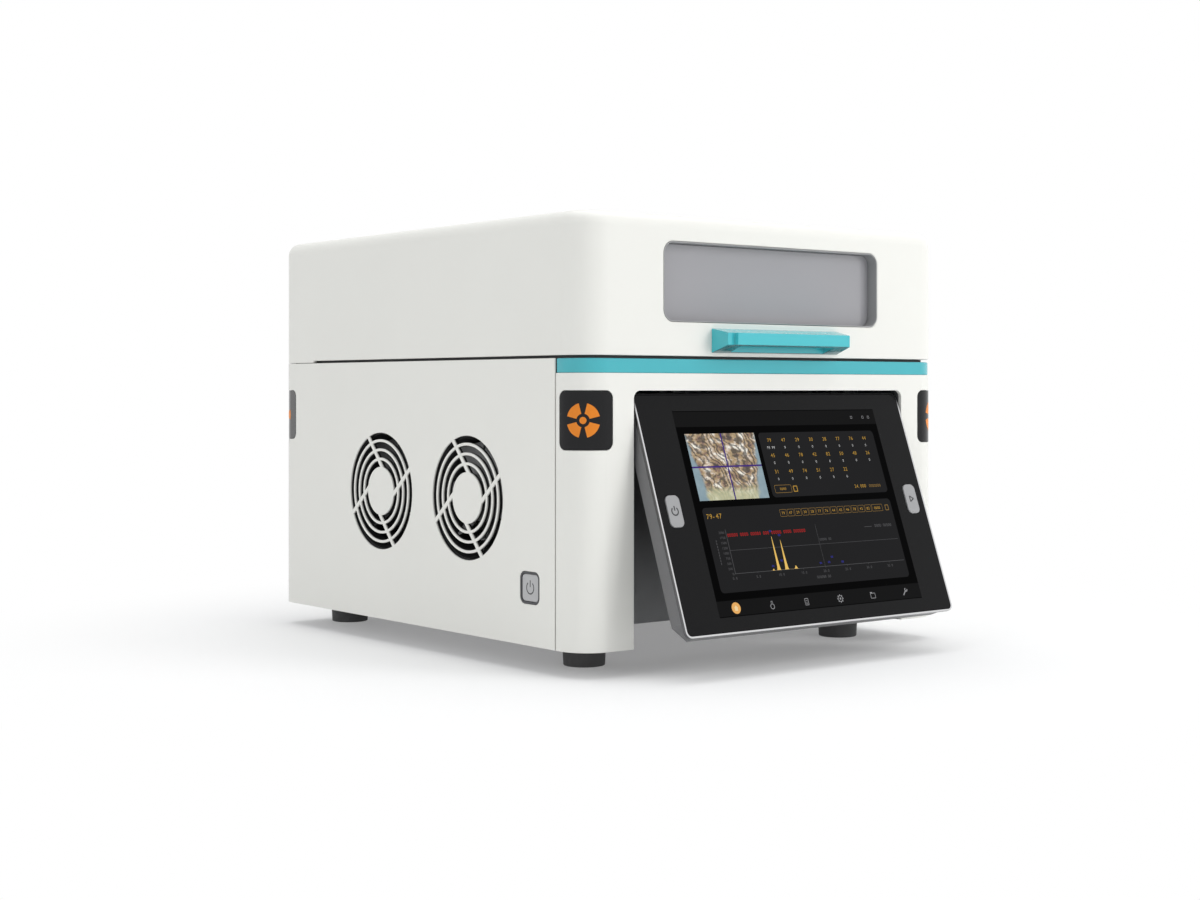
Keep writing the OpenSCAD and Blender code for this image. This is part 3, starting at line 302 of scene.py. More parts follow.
def tone_group():
    """Colour that varies a little over a surface, with thin dust where it faces up."""
    made, given, out = group(
        "tone_and_dust",
        [("Colour", COLOUR, (0.8, 0.8, 0.8, 1)), ("Spread", FLOAT, 0.05), ("Dust", FLOAT, 0.05)],
        [("Colour", COLOUR)],
    )
    place = object_place(made)
    broad = noise(made, place, 9, 5, 0.6)
    speck = noise(made, place, 320, 2, 0.5)
    low = maths(made, "SUBTRACT", 1, given["Spread"])
    shade = grey_of(made, ranged(made, broad, 0.3, 0.7, low, 1.0))
    toned = blend(made, 1.0, given["Colour"], shade, "MULTIPLY")
    normal = node(made, "ShaderNodeSeparateXYZ")
    link(made, node(made, "ShaderNodeNewGeometry").outputs["Normal"], normal.inputs[0])
    up = ranged(made, normal.outputs["Z"], 0.5, 1.0, 0.0, 1.0, True)
    lying = maths(made, "MULTIPLY", up, ranged(made, speck, 0.35, 0.75, 0.2, 1.0))
    amount = maths(made, "MULTIPLY", lying, given["Dust"])
    link(made, blend(made, amount, toned, (0.6, 0.58, 0.55, 1)), out[0])
    return made


def brush_group():
    """Fine lines along X, as on brushed or rolled metal."""
    made, given, out = group(
        "brushed_lines",
        [("Low", FLOAT, 0.25), ("High", FLOAT, 0.45)],
        [("Roughness", FLOAT), ("Height", FLOAT)],
    )
    stretch = node(made, "ShaderNodeMapping")
    stretch.inputs["Scale"].default_value = (12, 900, 900)
    link(made, object_place(made), stretch.inputs["Vector"])
    lines = noise(made, stretch.outputs[0], 1.0, 4, 0.6)
    link(made, ranged(made, lines, 0.3, 0.7, given["Low"], given["High"]), out[0])
    link(made, lines, out[1])
    return made


GRAIN = grain_group()
TONE = tone_group()
BRUSH = brush_group()

# ---- Materials ----


def use(tree, made, **values):
    placed = node(tree, "ShaderNodeGroup", node_tree=made)
    for label, value in values.items():
        placed.inputs[label].default_value = value
    return placed


def finish(name, colour, low, high, grain, bump, spread, dust, lines=False, **sockets):
    """A material of one kind: toned colour, wandering roughness and a fine skin."""
    mat, tree = new_material(name)
    shader = node(tree, "ShaderNodeBsdfPrincipled")
    out = node(tree, "ShaderNodeOutputMaterial")
    tone = use(tree, TONE, Colour=(*colour, 1), Spread=spread, Dust=dust)
    if lines:
        skin = use(tree, BRUSH, Low=low, High=high)
    else:
        skin = use(tree, GRAIN, Scale=grain, Low=low, High=high)
    raised = node(tree, "ShaderNodeBump")
    raised.inputs["Strength"].default_value = bump
    raised.inputs["Distance"].default_value = 0.0004
    link(tree, tone.outputs[0], shader.inputs["Base Color"])
    link(tree, skin.outputs["Roughness"], shader.inputs["Roughness"])
    link(tree, skin.outputs["Height"], raised.inputs["Height"])
    link(tree, raised.outputs[0], shader.inputs["Normal"])
    for label, value in sockets.items():
        shader.inputs[label.replace("_", " ")].default_value = value
    link(tree, shader.outputs[0], out.inputs["Surface"])
    return mat


# Skins that several materials share: roughness from and to, scale of the grain, strength
# of the bump, spread of the tone and dust
PAINT = (0.36, 0.48, 1500, 0.1, 0.02, 0.02)
ENAMEL = (0.16, 0.24, 700, 0.02, 0.05, 0.02)
GLOSS = (0.12, 0.2, 500, 0.01, 0.1, 0.01)
MOULDED = (0.4, 0.55, 1100, 0.2, 0.12, 0.03)
KEYCAP = (0.35, 0.5, 1400, 0.12, 0.04, 0.02)
SATIN_COAT = {"Coat_Weight": 0.12, "Coat_Roughness": 0.25}
CLEAR_COAT = {"Coat_Weight": 0.3, "Coat_Roughness": 0.08}
WHITE = (0.835, 0.83, 0.785)

# Heights, in metres, over which painted shade turns the rim black at its top and makes the bay's lining darker
# towards its top
RIM_SHADE_FADE = (0.178, 0.188)
BAY_SHADE_FADE = (0.03, 0.12)

# Casing and lid
white_paint = finish("white_paint", WHITE, *PAINT, **SATIN_COAT)
# The trim's teal is the handle's teal painted about an eighth darker: painted shade from the lid's gap above it
teal_gloss = finish("teal_gloss", (0.052, 0.44, 0.50), *ENAMEL, **CLEAR_COAT)
black_gloss = finish(
    "black_gloss", (0.008, 0.008, 0.009), *GLOSS,
    Specular_IOR_Level=0.16, Coat_Weight=0.16, Coat_Roughness=0.06,
)
rear_gloss = finish(
    "rear_gloss", (0.03, 0.03, 0.031), *GLOSS,
    Specular_IOR_Level=0.5, Coat_Weight=0.6, Coat_Roughness=0.1,
)
window_grey = finish("window_grey", (0.34, 0.34, 0.345), 0.35, 0.5, 1300, 0.15, 0.06, 0.03)
window_pane = finish(
    "window_pane", (0.41, 0.405, 0.425), 0.05, 0.1, 200, 0.003, 0.03, 0.006,
    Transmission_Weight=0.2, IOR=1.6,
)
rubber = finish("rubber", (0.11, 0.11, 0.111), 0.6, 0.8, 800, 0.4, 0.2, 0.08)

# Plastics
black_plastic = finish("black_plastic", (0.02, 0.02, 0.021), 0.42, 0.6, 1300, 0.25, 0.15, 0.05)
# The rotors are one black moulding; the front one is painted a lighter grey, painted light where little light
# reaches into the fan
rotor_painted_light = finish("rotor_painted_light", (0.34, 0.34, 0.345), *MOULDED)
rotor_dark = finish("rotor_dark", (0.06, 0.06, 0.062), *MOULDED)
dark_frame = finish("dark_frame", (0.055, 0.055, 0.06), 0.3, 0.45, 1200, 0.15, 0.1, 0.03)
key_grey = finish("key_grey", (0.48, 0.48, 0.485), *KEYCAP)
display_key_grey = finish("display_key_grey", (0.33, 0.33, 0.335), *KEYCAP)

# Display
screen_glass = finish(
    "screen_glass", (0.0075, 0.0075, 0.008), 0.1, 0.16, 300, 0.004, 0.05, 0.004,
    Specular_IOR_Level=0.1,
)
display_aluminium = finish(
    "display_aluminium", (0.17, 0.17, 0.175), 0.3, 0.46, 900, 0.12, 0.06, 0.02,
    lines=True, Metallic=0.2,
)
bracket_dark = finish("bracket_dark", (0.03, 0.03, 0.031), 0.45, 0.65, 1500, 0.2, 0.12, 0.03)

# Metals inside and behind
sheet_steel = finish(
    "sheet_steel", (0.56, 0.56, 0.57), 0.28, 0.45, 900, 0.1, 0.06, 0.03,
    lines=True, Metallic=0.9,
)
bright_steel = finish(
    "bright_steel", (0.7, 0.7, 0.71), 0.18, 0.32, 1200, 0.05, 0.05, 0.02, Metallic=1.0,
)
head_brass = finish(
    "head_brass", (0.62, 0.44, 0.17), 0.25, 0.4, 900, 0.08, 0.08, 0.03,
    lines=True, Metallic=1.0,
)
unit_case = finish(
    "unit_case", (0.48, 0.49, 0.5), 0.3, 0.46, 900, 0.1, 0.06, 0.05,
    lines=True, Metallic=0.85,
)

# Prints
orange_print = finish(
    "orange_print", (0.8, 0.24, 0.02), 0.3, 0.42, 1500, 0.06, 0.06, 0.02,
    Specular_IOR_Level=0.25,
)
dark_print = finish("dark_print", (0.03, 0.03, 0.032), 0.4, 0.55, 1500, 0.06, 0.1, 0.01)
white_print = finish("white_print", (0.72, 0.72, 0.7), 0.4, 0.5, 1500, 0.06, 0.04, 0.01)


def base_colour(mat):
    """The tree of a finish, its Base Color socket and what feeds it."""
    tree = mat.node_tree
    shader = next(n for n in tree.nodes if n.type == "BSDF_PRINCIPLED")
    socket = shader.inputs["Base Color"]
    return tree, socket, socket.links[0].from_socket


def own_axis(tree, output, axis):
    """One axis of the object's own coordinates or normal, which a pose doesn't change."""
    split = node(tree, "ShaderNodeSeparateXYZ")
    link(tree, node(tree, "ShaderNodeTexCoord").outputs[output], split.inputs[0])
    return split.outputs[axis]


def panel_with_painted_slot_shade():
    """White paint, with the walls of the slots painted near-black: painted shade where the slots run into the dark
    inside.
    """
    mat = finish("white_paint_slotted", WHITE, *PAINT, **SATIN_COAT)
    tree, socket, paint = base_colour(mat)
    # Painted shade: deeper than 0.9 to 1.3 mm under the outer face the paint turns near-black
    wall_from, wall_to = (0.9 - HALF_W) * MM, (1.3 - HALF_W) * MM
    inside = ranged(tree, own_axis(tree, "Object", "X"), wall_from, wall_to, 0.0, 1.0)
    link(tree, blend(tree, inside, paint, (0.012, 0.012, 0.013, 1)), socket)
    return mat


def handle_with_painted_underside_shade():
    """Teal with painted shade: darker on the faces that look down."""
    mat = finish("teal_handle", (0.06, 0.52, 0.58), *ENAMEL, **CLEAR_COAT)
    tree, socket, teal = base_colour(mat)
    # Painted shade: faces that look down are painted a deep teal
    down = ranged(tree, own_axis(tree, "Normal", "Z"), -0.6, -0.15, 1.0, 0.0, True)
    link(tree, blend(tree, down, teal, (0.02, 0.16, 0.18, 1)), socket)
    return mat


def rim_with_painted_shade():
    """Aluminium rim with painted shade: bright on its face, painted dark grey on its sides and black at its top.
    """
    mat = finish(
        "silver_rim", (0.7, 0.7, 0.71), 0.16, 0.28, 900, 0.03, 0.04, 0.01,
        lines=True, Metallic=1.0,
    )
    tree, socket, bright = base_colour(mat)
    # Painted shade: faces that don't look to the front are painted dark grey
    side = ranged(tree, own_axis(tree, "Normal", "Y"), -0.8, -0.45, 0.0, 1.0, True)
    # Painted shade: above these heights the rim is painted black
    high = ranged(tree, own_axis(tree, "Object", "Z"), *RIM_SHADE_FADE, 0.0, 1.0, True)
    metal = blend(tree, side, bright, (0.13, 0.13, 0.135, 1))
    link(tree, blend(tree, high, metal, (0.02, 0.02, 0.021, 1)), socket)
    return mat


def bay_with_painted_shade():
    """Grey lining with painted shade: lighter towards its foot, darker towards its top."""
    mat = finish("bay_grey", (0.3, 0.303, 0.31), 0.45, 0.65, 1500, 0.5, 0.12, 0.03)
    tree, socket, low = base_colour(mat)
    # Painted shade: the lining is painted darker up the bay
    high = ranged(tree, own_axis(tree, "Object", "Z"), *BAY_SHADE_FADE, 0.0, 1.0, True)
    link(tree, blend(tree, high, low, (0.11, 0.111, 0.114, 1)), socket)
    return mat


def board_material():
    """Green lacquer over copper tracks, with round pads."""
    mat = finish("circuit_board", (0.02, 0.12, 0.05), 0.3, 0.42, 1200, 0.1, 0.1, 0.05)
    tree, socket, green = base_colour(mat)
    place = object_place(tree)
    cells = node(tree, "ShaderNodeTexBrick")
    cells.inputs["Scale"].default_value = 90
    cells.inputs["Mortar Size"].default_value = 0.06
    cells.inputs["Color1"].default_value = (0, 0, 0, 1)
    cells.inputs["Color2"].default_value = (0, 0, 0, 1)
    cells.inputs["Mortar"].default_value = (1, 1, 1, 1)
    pads = node(tree, "ShaderNodeTexVoronoi")
    pads.inputs["Scale"].default_value = 260
    link(tree, place, cells.inputs["Vector"])
    link(tree, place, pads.inputs["Vector"])
    tracks = blend(tree, cells.outputs["Color"], green, (0.05, 0.22, 0.09, 1))
    dots = ranged(tree, pads.outputs["Distance"], 0.16, 0.2, 1.0, 0.0)
    link(tree, blend(tree, dots, tracks, (0.55, 0.5, 0.36, 1)), socket)
    return mat


white_paint_slotted = panel_with_painted_slot_shade()
teal_handle = handle_with_painted_underside_shade()
silver_rim = rim_with_painted_shade()
bay_grey = bay_with_painted_shade()
circuit_board = board_material()


def lit(name, colour):
    """A lit part of the screen under its glass, a little uneven as a backlight is."""
    mat, tree = new_material(name)
    shader = node(tree, "ShaderNodeBsdfPrincipled")
    out = node(tree, "ShaderNodeOutputMaterial")
    tone = use(tree, TONE, Colour=(*colour, 1), Spread=0.1, Dust=0.0)
    skin = use(tree, GRAIN, Scale=300.0, Low=0.1, High=0.16)
    shader.inputs["Base Color"].default_value = (0.0005, 0.0005, 0.0005, 1)
    shader.inputs["Specular IOR Level"].default_value = 0.01
    shader.inputs["Emission Strength"].default_value = 1.0
    link(tree, tone.outputs[0], shader.inputs["Emission Color"])
    link(tree, skin.outputs["Roughness"], shader.inputs["Roughness"])
    link(tree, shader.outputs[0], out.inputs["Surface"])
    return mat


# ---- Mesh helpers ----

# Points closer than this, in metres, are one
WELD = 2e-6

# Edges that turn by more than this, in degrees, are rounded
EDGE_ANGLE = 35


def baked(obj):
    """Applies obj's modifiers to its mesh."""
    graph = bpy.context.evaluated_depsgraph_get()
    graph.update()
    mesh = bpy.data.meshes.new_from_object(
        obj.evaluated_get(graph), preserve_all_data_layers=True, depsgraph=graph,
    )
    obj.modifiers.clear()
    obj.data = mesh
    return obj


def bare(name, bm):
    """bm as an object without a material; bm is used up."""
    mesh = bpy.data.meshes.new(name)
    bm.normal_update()
    bm.to_mesh(mesh)
    bm.free()
    obj = bpy.data.objects.new(name, mesh)
    scene.collection.objects.link(obj)
    return obj


def smooth(obj, angle=40):
    """Smooth shading that keeps flat faces flat and hard edges hard."""
    mesh = obj.data
    mesh.shade_smooth()
    mesh.set_sharp_from_angle(angle=math.radians(angle))
    weigh = obj.modifiers.new("normals", "WEIGHTED_NORMAL")
    weigh.keep_sharp = True
    return baked(obj)


def placed(obj, body, mat=None, slot=None, stands_for=()):
    """Gives obj its material, the body it moves with and the nodes it replaces; slot is not used."""
    if mat is not None:
        obj.data.materials.clear()
        obj.data.materials.append(mat)
    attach(obj, body)
    if stands_for:
        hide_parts(*stands_for)
    return obj


def round_edges(bm, width, segments):
    limit = math.radians(EDGE_ANGLE)
    sharp = [e for e in bm.edges if len(e.link_faces) == 2 and e.calc_face_angle(0) > limit]
    bmesh.ops.bevel(
        bm, geom=sharp, offset=width * MM, offset_type="OFFSET", segments=segments,
        profile=0.5, affect="EDGES", clamp_overlap=True,
    )


def body_of(name):
    bodies = frame["record"]["behaviour"]["bodies"]
    return next(body for body, members in bodies.items() if name in members)


def slot_of(name):
    return next(e["material_slot"] for e in frame["record"]["subparts"] if e["node"] == name)


def softened(name, mat, width=0.4, segments=2):
    """A copy of a CAD node with its edges rounded, which stands for it."""
    bm = bmesh.new()
    bm.from_mesh(nodes[name].data)
    bmesh.ops.remove_doubles(bm, verts=bm.verts, dist=WELD)
    bmesh.ops.dissolve_limit(bm, angle_limit=math.radians(0.4), verts=bm.verts, edges=bm.edges)
    round_edges(bm, width, segments)
    obj = smooth(bare(name + "_soft", bm))
    return placed(obj, body_of(name), mat, slot_of(name), [name])


def finished(mat, *names):
    """CAD nodes that keep their shape and get a better material."""
    for name in names:
        slots = nodes[name].data.materials
        if not slots:
            slots.append(mat)
        for i in range(len(slots)):
            slots[i] = mat


def loft(bm, rings):
    """Joins closed rings of points into a skin, with flat ends."""
    made = [[bm.verts.new(p) for p in ring] for ring in rings]
    count = len(made[0])
    for low, high in zip(made, made[1:]):
        for i in range(count):
            j = (i + 1) % count
            bm.faces.new((low[i], low[j], high[j], high[i]))
    bm.faces.new(list(reversed(made[0])))
    bm.faces.new(made[-1])


def circle(r, segments):
    """Points of a circle about its middle, counter-clockwise."""
    angles = (2 * math.pi * i / segments for i in range(segments))
    return [(r * math.cos(a), r * math.sin(a)) for a in angles]


def quarter_turns(corners, steps):
    """Rounded corners one after the other, each from its middle, radius and first angle."""
    points = []
    for x, y, r, start in corners:
        for i in range(steps + 1):
            a = math.radians(start + 90 * i / steps)
            points.append((x + r * math.cos(a), y + r * math.sin(a)))
    return points


def plan(inset, z):
    """The casing's outline at height z, set in by inset, as places in metres."""
    w, d = HALF_W - inset, CASING_D - inset
    front, rear = FRONT_R - inset, REAR_R - inset
    corners = (
        (w - front, inset + front, front, -90), (w - rear, d - rear, rear, 0),
        (rear - w, d - rear, rear, 90), (front - w, inset + front, front, 180),
    )
    return [casing(x, y, z) for x, y in quarter_turns(corners, 14)]


def rounded(w, h, r, steps):
    """A rounded rectangle about its middle, counter-clockwise."""
    x, y = w / 2 - r, h / 2 - r
    return quarter_turns(((x, y, r, 0), (-x, y, r, 90), (-x, -y, r, 180), (x, -y, r, 270)), steps)


def cut(obj, cutter):
    """Takes cutter out of obj; cutter is used up."""
    change = obj.modifiers.new("cut", "BOOLEAN")
    change.operation = "DIFFERENCE"
    change.solver = "EXACT"
    change.object = cutter
    baked(obj)
    bpy.data.objects.remove(cutter)


# ---- Geometry nodes: one piece repeated on points ----


def repeat_group():
    made = bpy.data.node_groups.new("repeat_piece", "GeometryNodeTree")
    for label, kind in (("Places", "Geometry"), ("Piece", "Object"), ("Finish", "Material")):
        made.interface.new_socket(label, in_out="INPUT", socket_type="NodeSocket" + kind)
    made.interface.new_socket("Geometry", in_out="OUTPUT", socket_type="NodeSocketGeometry")
    given, out = node(made, "NodeGroupInput"), node(made, "NodeGroupOutput")
    info = node(made, "GeometryNodeObjectInfo")
    turn = node(made, "GeometryNodeInputNamedAttribute", data_type="FLOAT_VECTOR")
    turn.inputs["Name"].default_value = "turn"
    euler = node(made, "FunctionNodeEulerToRotation")
    spread = node(made, "GeometryNodeInstanceOnPoints")
    real = node(made, "GeometryNodeRealizeInstances")
    coat = node(made, "GeometryNodeSetMaterial")
    link(made, given.outputs["Places"], spread.inputs["Points"])
    link(made, given.outputs["Piece"], info.inputs["Object"])
    link(made, info.outputs["Geometry"], spread.inputs["Instance"])
    link(made, turn.outputs["Attribute"], euler.inputs[0])
    link(made, euler.outputs[0], spread.inputs["Rotation"])
    link(made, spread.outputs[0], real.inputs[0])
    link(made, real.outputs[0], coat.inputs["Geometry"])
    link(made, given.outputs["Finish"], coat.inputs["Material"])
    link(made, coat.outputs[0], out.inputs[0])
    return made


REPEAT = repeat_group()


def repeated(name, piece, places, mat, body, slot=None, stands_for=()):
    """piece, modelled about the origin, on each (place, turn); piece is used up."""
    mesh = bpy.data.meshes.new(name)
    mesh.from_pydata([p for p, _ in places], [], [])
    turn = mesh.attributes.new("turn", "FLOAT_VECTOR", "POINT")
    for item, (_, t) in zip(turn.data, places):
        item.vector = t
    obj = bpy.data.objects.new(name, mesh)
    scene.collection.objects.link(obj)
    change = obj.modifiers.new("repeat", "NODES")
    change.node_group = REPEAT
    sockets = {s.name: s.identifier for s in REPEAT.interface.items_tree if s.in_out == "INPUT"}
    change[sockets["Piece"]] = piece
    change[sockets["Finish"]] = mat
    baked(obj)
    bpy.data.objects.remove(piece)
    placed(obj, body, None, slot, stands_for)


# ---- Casing ----

softened("front_cover", white_paint, 0.5)
softened("left_side_panel", white_paint_slotted, 0.35)
softened("right_side_panel", white_paint, 0.5)
softened("rear_panel", white_paint, 0.4)
softened("front_trim", teal_gloss, 0.8, 3)
for corner in ("front_left", "front_right", "rear_left", "rear_right"):
    softened("corner_cover_" + corner, rear_gloss if "rear" in corner else black_gloss, 0.6, 3)
    softened("foot_" + corner, rubber, 0.8, 3)
softened("mains_inlet", black_plastic, 0.35)
softened("power_rocker", dark_frame, 0.4)
softened("data_ports", bright_steel, 0.25)
softened("base_hinge_leaves", bright_steel, 0.35)
softened("lid_hinge_leaves", bright_steel, 0.35)
softened("lid_hinge_pins", bright_steel, 0.3)
softened("sample_stage", window_grey, 0.4)
softened("side_button_frame", dark_frame, 0.3)
softened("side_button", key_grey, 0.6, 3)
finished(bay_grey, "bay_lining")
finished(sheet_steel, "base_tray", "chassis_posts", "deck_plate", "lid_lining")
finished(bracket_dark, "display_hinge_brackets")
finished(rubber, "lid_seal")
finished(black_plastic, "interlock_switch", "camera_module", "wheel_motor", "key_switches")
finished(bright_steel, "interlock_magnet", "lid_screws", "casing_screws", "foot_screws")
finished(head_brass, "measuring_head", "filter_wheel")
finished(unit_case, "xray_tube", "detector", "hv_supply", "mains_supply")
finished(circuit_board, "main_board", "display_board")
finished(dark_frame, "display_panel")

# ---- Lid ----

# How far the solids that cut the lid run past it
PAST = 9

WINDOW_GAP = 0.2
WINDOW_R = 8.5


def lid_block():
    """The lid's outside as one block, with a soft roll over all its upper edges."""
    rings = [plan(0, BASE_H + SKIRT_GAP), plan(0, LID_TOP - LID_EDGE_R)]
    steps = 9
    for i in range(1, steps + 1):
        a = math.radians(90 * i / steps)
        inset, drop = LID_EDGE_R * (1 - math.cos(a)), LID_EDGE_R * (1 - math.sin(a))
        rings.append(plan(inset, LID_TOP - drop))
    bm = bmesh.new()
    loft(bm, rings)
    return bare("lid_shell_soft", bm)


def lid_hollow():
    bm = bmesh.new()
    loft(bm, [plan(LID_WALL, BASE_H + SKIRT_GAP - PAST), plan(LID_WALL, LID_TOP - LID_ROOF)])
    return bare("hollow", bm)


def skirt_cutter():
    """What is missing under the lid's walls in front of the skirt."""
    low = casing(-HALF_W - PAST, -PAST, BASE_H + SKIRT_GAP - PAST)
    high = casing(HALF_W + PAST, CASING_D - SKIRT_L, BASE_H + LID_GAP)
    bm = bmesh.new()
    bmesh.ops.create_cube(bm, size=1)
    for v in bm.verts:
        v.co = Vector(low[i] if v.co[i] < 0 else high[i] for i in range(3))
    return bare("front", bm)


def window_cutter():
    window_lo, window_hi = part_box("window_frame")
    size = (window_hi - window_lo) / MM
    centre = (window_hi + window_lo) / 2
    outline = rounded(size.x + 2 * WINDOW_GAP, size.z + 2 * WINDOW_GAP, WINDOW_R, 10)
    bm = bmesh.new()
    loft(bm, [
        [Vector((centre.x + x * MM, (FRONT_Y + y) * MM, centre.z + z * MM)) for x, z in outline]
        for y in (LID_WALL + 2, -2)
    ])
    return bare("opening", bm)


def lid_skin():
    """The lid's shell, which stands for the CAD one."""
    shell = lid_block()
    for cutter in (lid_hollow(), skirt_cutter(), window_cutter()):
        cut(shell, cutter)
    bm = bmesh.new()
    bm.from_mesh(shell.data)
    bmesh.ops.remove_doubles(bm, verts=bm.verts, dist=WELD)
    round_edges(bm, 0.7, 3)
    bpy.data.objects.remove(shell)
    shell = smooth(bare("lid_shell_soft", bm))
    placed(shell, "lid", white_paint, "white_shell", ["lid_shell"])


lid_skin()
softened("lid_handle", teal_handle, 0.9, 3)
softened("window_frame", window_grey, 0.35)
softened("window_pane", window_pane, 0.3)

# ---- Display ----

softened("display_frame", silver_rim, 0.35, 3)
softened("display_glass", screen_glass, 0.15)
softened("display_back", display_aluminium, 0.7, 3)
softened("power_key", display_key_grey, 0.6, 3)
softened("start_key", display_key_grey, 0.6, 3)

# ---- Fans ----

BLADES = 7
HUB_R = 17.5
BLADE_ROOT = 16.8
BLADE_TIP = 42.0
BLADE_CHORD = 21.0
BLADE_HALF_THICK = 0.7
BLADE_CAMBER = 1.6

# Twist at the root and how much it falls to the tip, in degrees
BLADE_TWIST = 52
BLADE_UNTWIST = 24

# How far the tip runs ahead of the root, in radians, and how much the blade is flattened
BLADE_SWEEP = 0.25
BLADE_FLAT = 0.62


def blade_piece():
    """One cambered fan blade, root at the hub, made about the fan's axis along X."""
    spans, steps = 6, 8
    rings = []
    for i in range(spans + 1):
        t = i / spans
        r = BLADE_ROOT + (BLADE_TIP - BLADE_ROOT) * t
        twist = math.radians(BLADE_TWIST - BLADE_UNTWIST * t)
        width = BLADE_CHORD * (0.72 + 0.5 * t)
        ring = []
        for side in (1, -1):
            for k in range(steps + 1):
                u = (k / steps - 0.5) * side
                camber = BLADE_CAMBER * (1 - 4 * u * u)
                half = BLADE_HALF_THICK * (1 - 3.2 * u * u) * side
                along, out = u * width, camber + half
                x = along * math.cos(twist) * BLADE_FLAT + out * math.sin(twist)
                swing = (along * math.sin(twist) - out * math.cos(twist)) / r + BLADE_SWEEP * t
                ring.append(Vector((x, r * math.cos(swing), r * math.sin(swing))) * MM)
        rings.append(ring)
    bm = bmesh.new()
    loft(bm, rings)
    bmesh.ops.remove_doubles(bm, verts=bm.verts, dist=1e-6)
    bmesh.ops.recalc_face_normals(bm, faces=bm.faces)
    return smooth(bare("blade", bm), 50)


def rotor(name, mat):
    """Hub with a soft nose, and blades repeated round it."""
    low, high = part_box(name)
    middle = (low + high) / 2
    turns = [(middle, (2 * math.pi * i / BLADES, 0, 0)) for i in range(BLADES)]
    repeated(name + "_blades", blade_piece(), turns, mat, name, "black_plastic")
    hub_l = (high.x - low.x) / MM
    profile = ((0, 10.5), (0.25, 14.5), (1.0, 16.4), (2.4, 17.3), (hub_l, HUB_R))
    bm = bmesh.new()
    loft(bm, [
        [Vector((low.x + x * MM, middle.y + y * MM, middle.z + z * MM)) for y, z in circle(r, 48)]
        for x, r in profile
    ])
    bmesh.ops.recalc_face_normals(bm, faces=bm.faces)
    hub = smooth(bare(name + "_hub", bm), 50)
    placed(hub, name, mat, "black_plastic", [name])


rotor("fan_rotor_front", rotor_painted_light)
rotor("fan_rotor_rear", rotor_dark)
finished(black_plastic, "fan_frame_front", "fan_frame_rear")

# ---- Screws ----

SCREW_R = 3.6
SCREW_H = 2.2

# Screws of the rear panel: from the casing's sides, and their heights
REAR_SCREW_IN = 35
REAR_SCREW_Z = (30, 150)

# Hinges: distance from the casing's middle, screws about the hinge's middle, leaf thickness
HINGE_X = 100
LEAF_SCREW_X = 21
LEAF_SCREW_Z = 17.9
LEAF_T = 2.5


def screw_head():
    """A pan head with a cross recess, facing the rear, its seat at the origin."""
    r, h = SCREW_R, SCREW_H
    profile = ((r, 0), (r, 0.35 * h), (r * 0.93, 0.66 * h), (r * 0.76, 0.88 * h), (r * 0.5, h))
    bm = bmesh.new()
    loft(bm, [[Vector((x, y, z)) * MM for x, y in circle(q, 32)] for q, z in profile])
    head = bare("head", bm)
    arm, wide, deep = r * 0.56, r * 0.15, h * 0.5
    for a, b in ((arm, wide), (wide, arm)):
        slot = bmesh.new()
        size = Matrix.Diagonal((2 * a * MM, 2 * b * MM, 2 * deep * MM, 1))
        bmesh.ops.create_cube(slot, size=1, matrix=Matrix.Translation((0, 0, h * MM)) @ size)
        cut(head, bare("slot", slot))
    to_rear = Vector((0, 0, 1)).rotation_difference(Vector((0, 1, 0)))
    head.data.transform(to_rear.to_matrix().to_4x4())
    return smooth(head, 35)


def at_rear(points, y):
    """Places on the rear face, each screw turned a little further than the last."""
    return [(casing(x, y, z), (0, 0.35 * i, 0)) for i, (x, z) in enumerate(points)]


hinge_z = BASE_H + LID_GAP / 2
leaf_x = [side * HINGE_X + s * LEAF_SCREW_X for side in (-1, 1) for s in (-1, 1)]
panel_row = [(s * (HALF_W - REAR_SCREW_IN), z) for s in (-1, 1) for z in REAR_SCREW_Z]
base_row = [(x, hinge_z - LEAF_SCREW_Z) for x in leaf_x]
lid_row = [(x, hinge_z + LEAF_SCREW_Z) for x in leaf_x]
base_places = at_rear(panel_row, CASING_D) + at_rear(base_row, CASING_D + LEAF_T)
repeated(
    "rear_screw_heads", screw_head(), base_places,
    bright_steel, "casing", "fasteners", ["casing_screws"],
)
repeated(
    "lid_screw_heads", screw_head(), at_rear(lid_row, CASING_D + LEAF_T),
    bright_steel, "lid", "fasteners", ["lid_screws"],
)

# ---- Flat prints ----

# A digit's height in the built-in font at size 1, and the step between digits in such heights
DIGIT_H = 0.69
DIGIT_STEP = 0.82

glyphs = {}


def glyph(letter):
    """Corners and faces of a digit or dash, one unit high."""
    if letter not in glyphs:
        curve = bpy.data.curves.new("glyph", "FONT")
        curve.body = letter
        curve.resolution_u = 3
        obj = bpy.data.objects.new("glyph", curve)
        scene.collection.objects.link(obj)
        graph = bpy.context.evaluated_depsgraph_get()
        mesh = bpy.data.meshes.new_from_object(obj.evaluated_get(graph))
        corners = [(v.co.x / DIGIT_H, v.co.y / DIGIT_H) for v in mesh.vertices]
        glyphs[letter] = (corners, [list(p.vertices) for p in mesh.polygons])
        bpy.data.objects.remove(obj)
        bpy.data.curves.remove(curve)
        bpy.data.meshes.remove(mesh)
    return glyphs[letter]


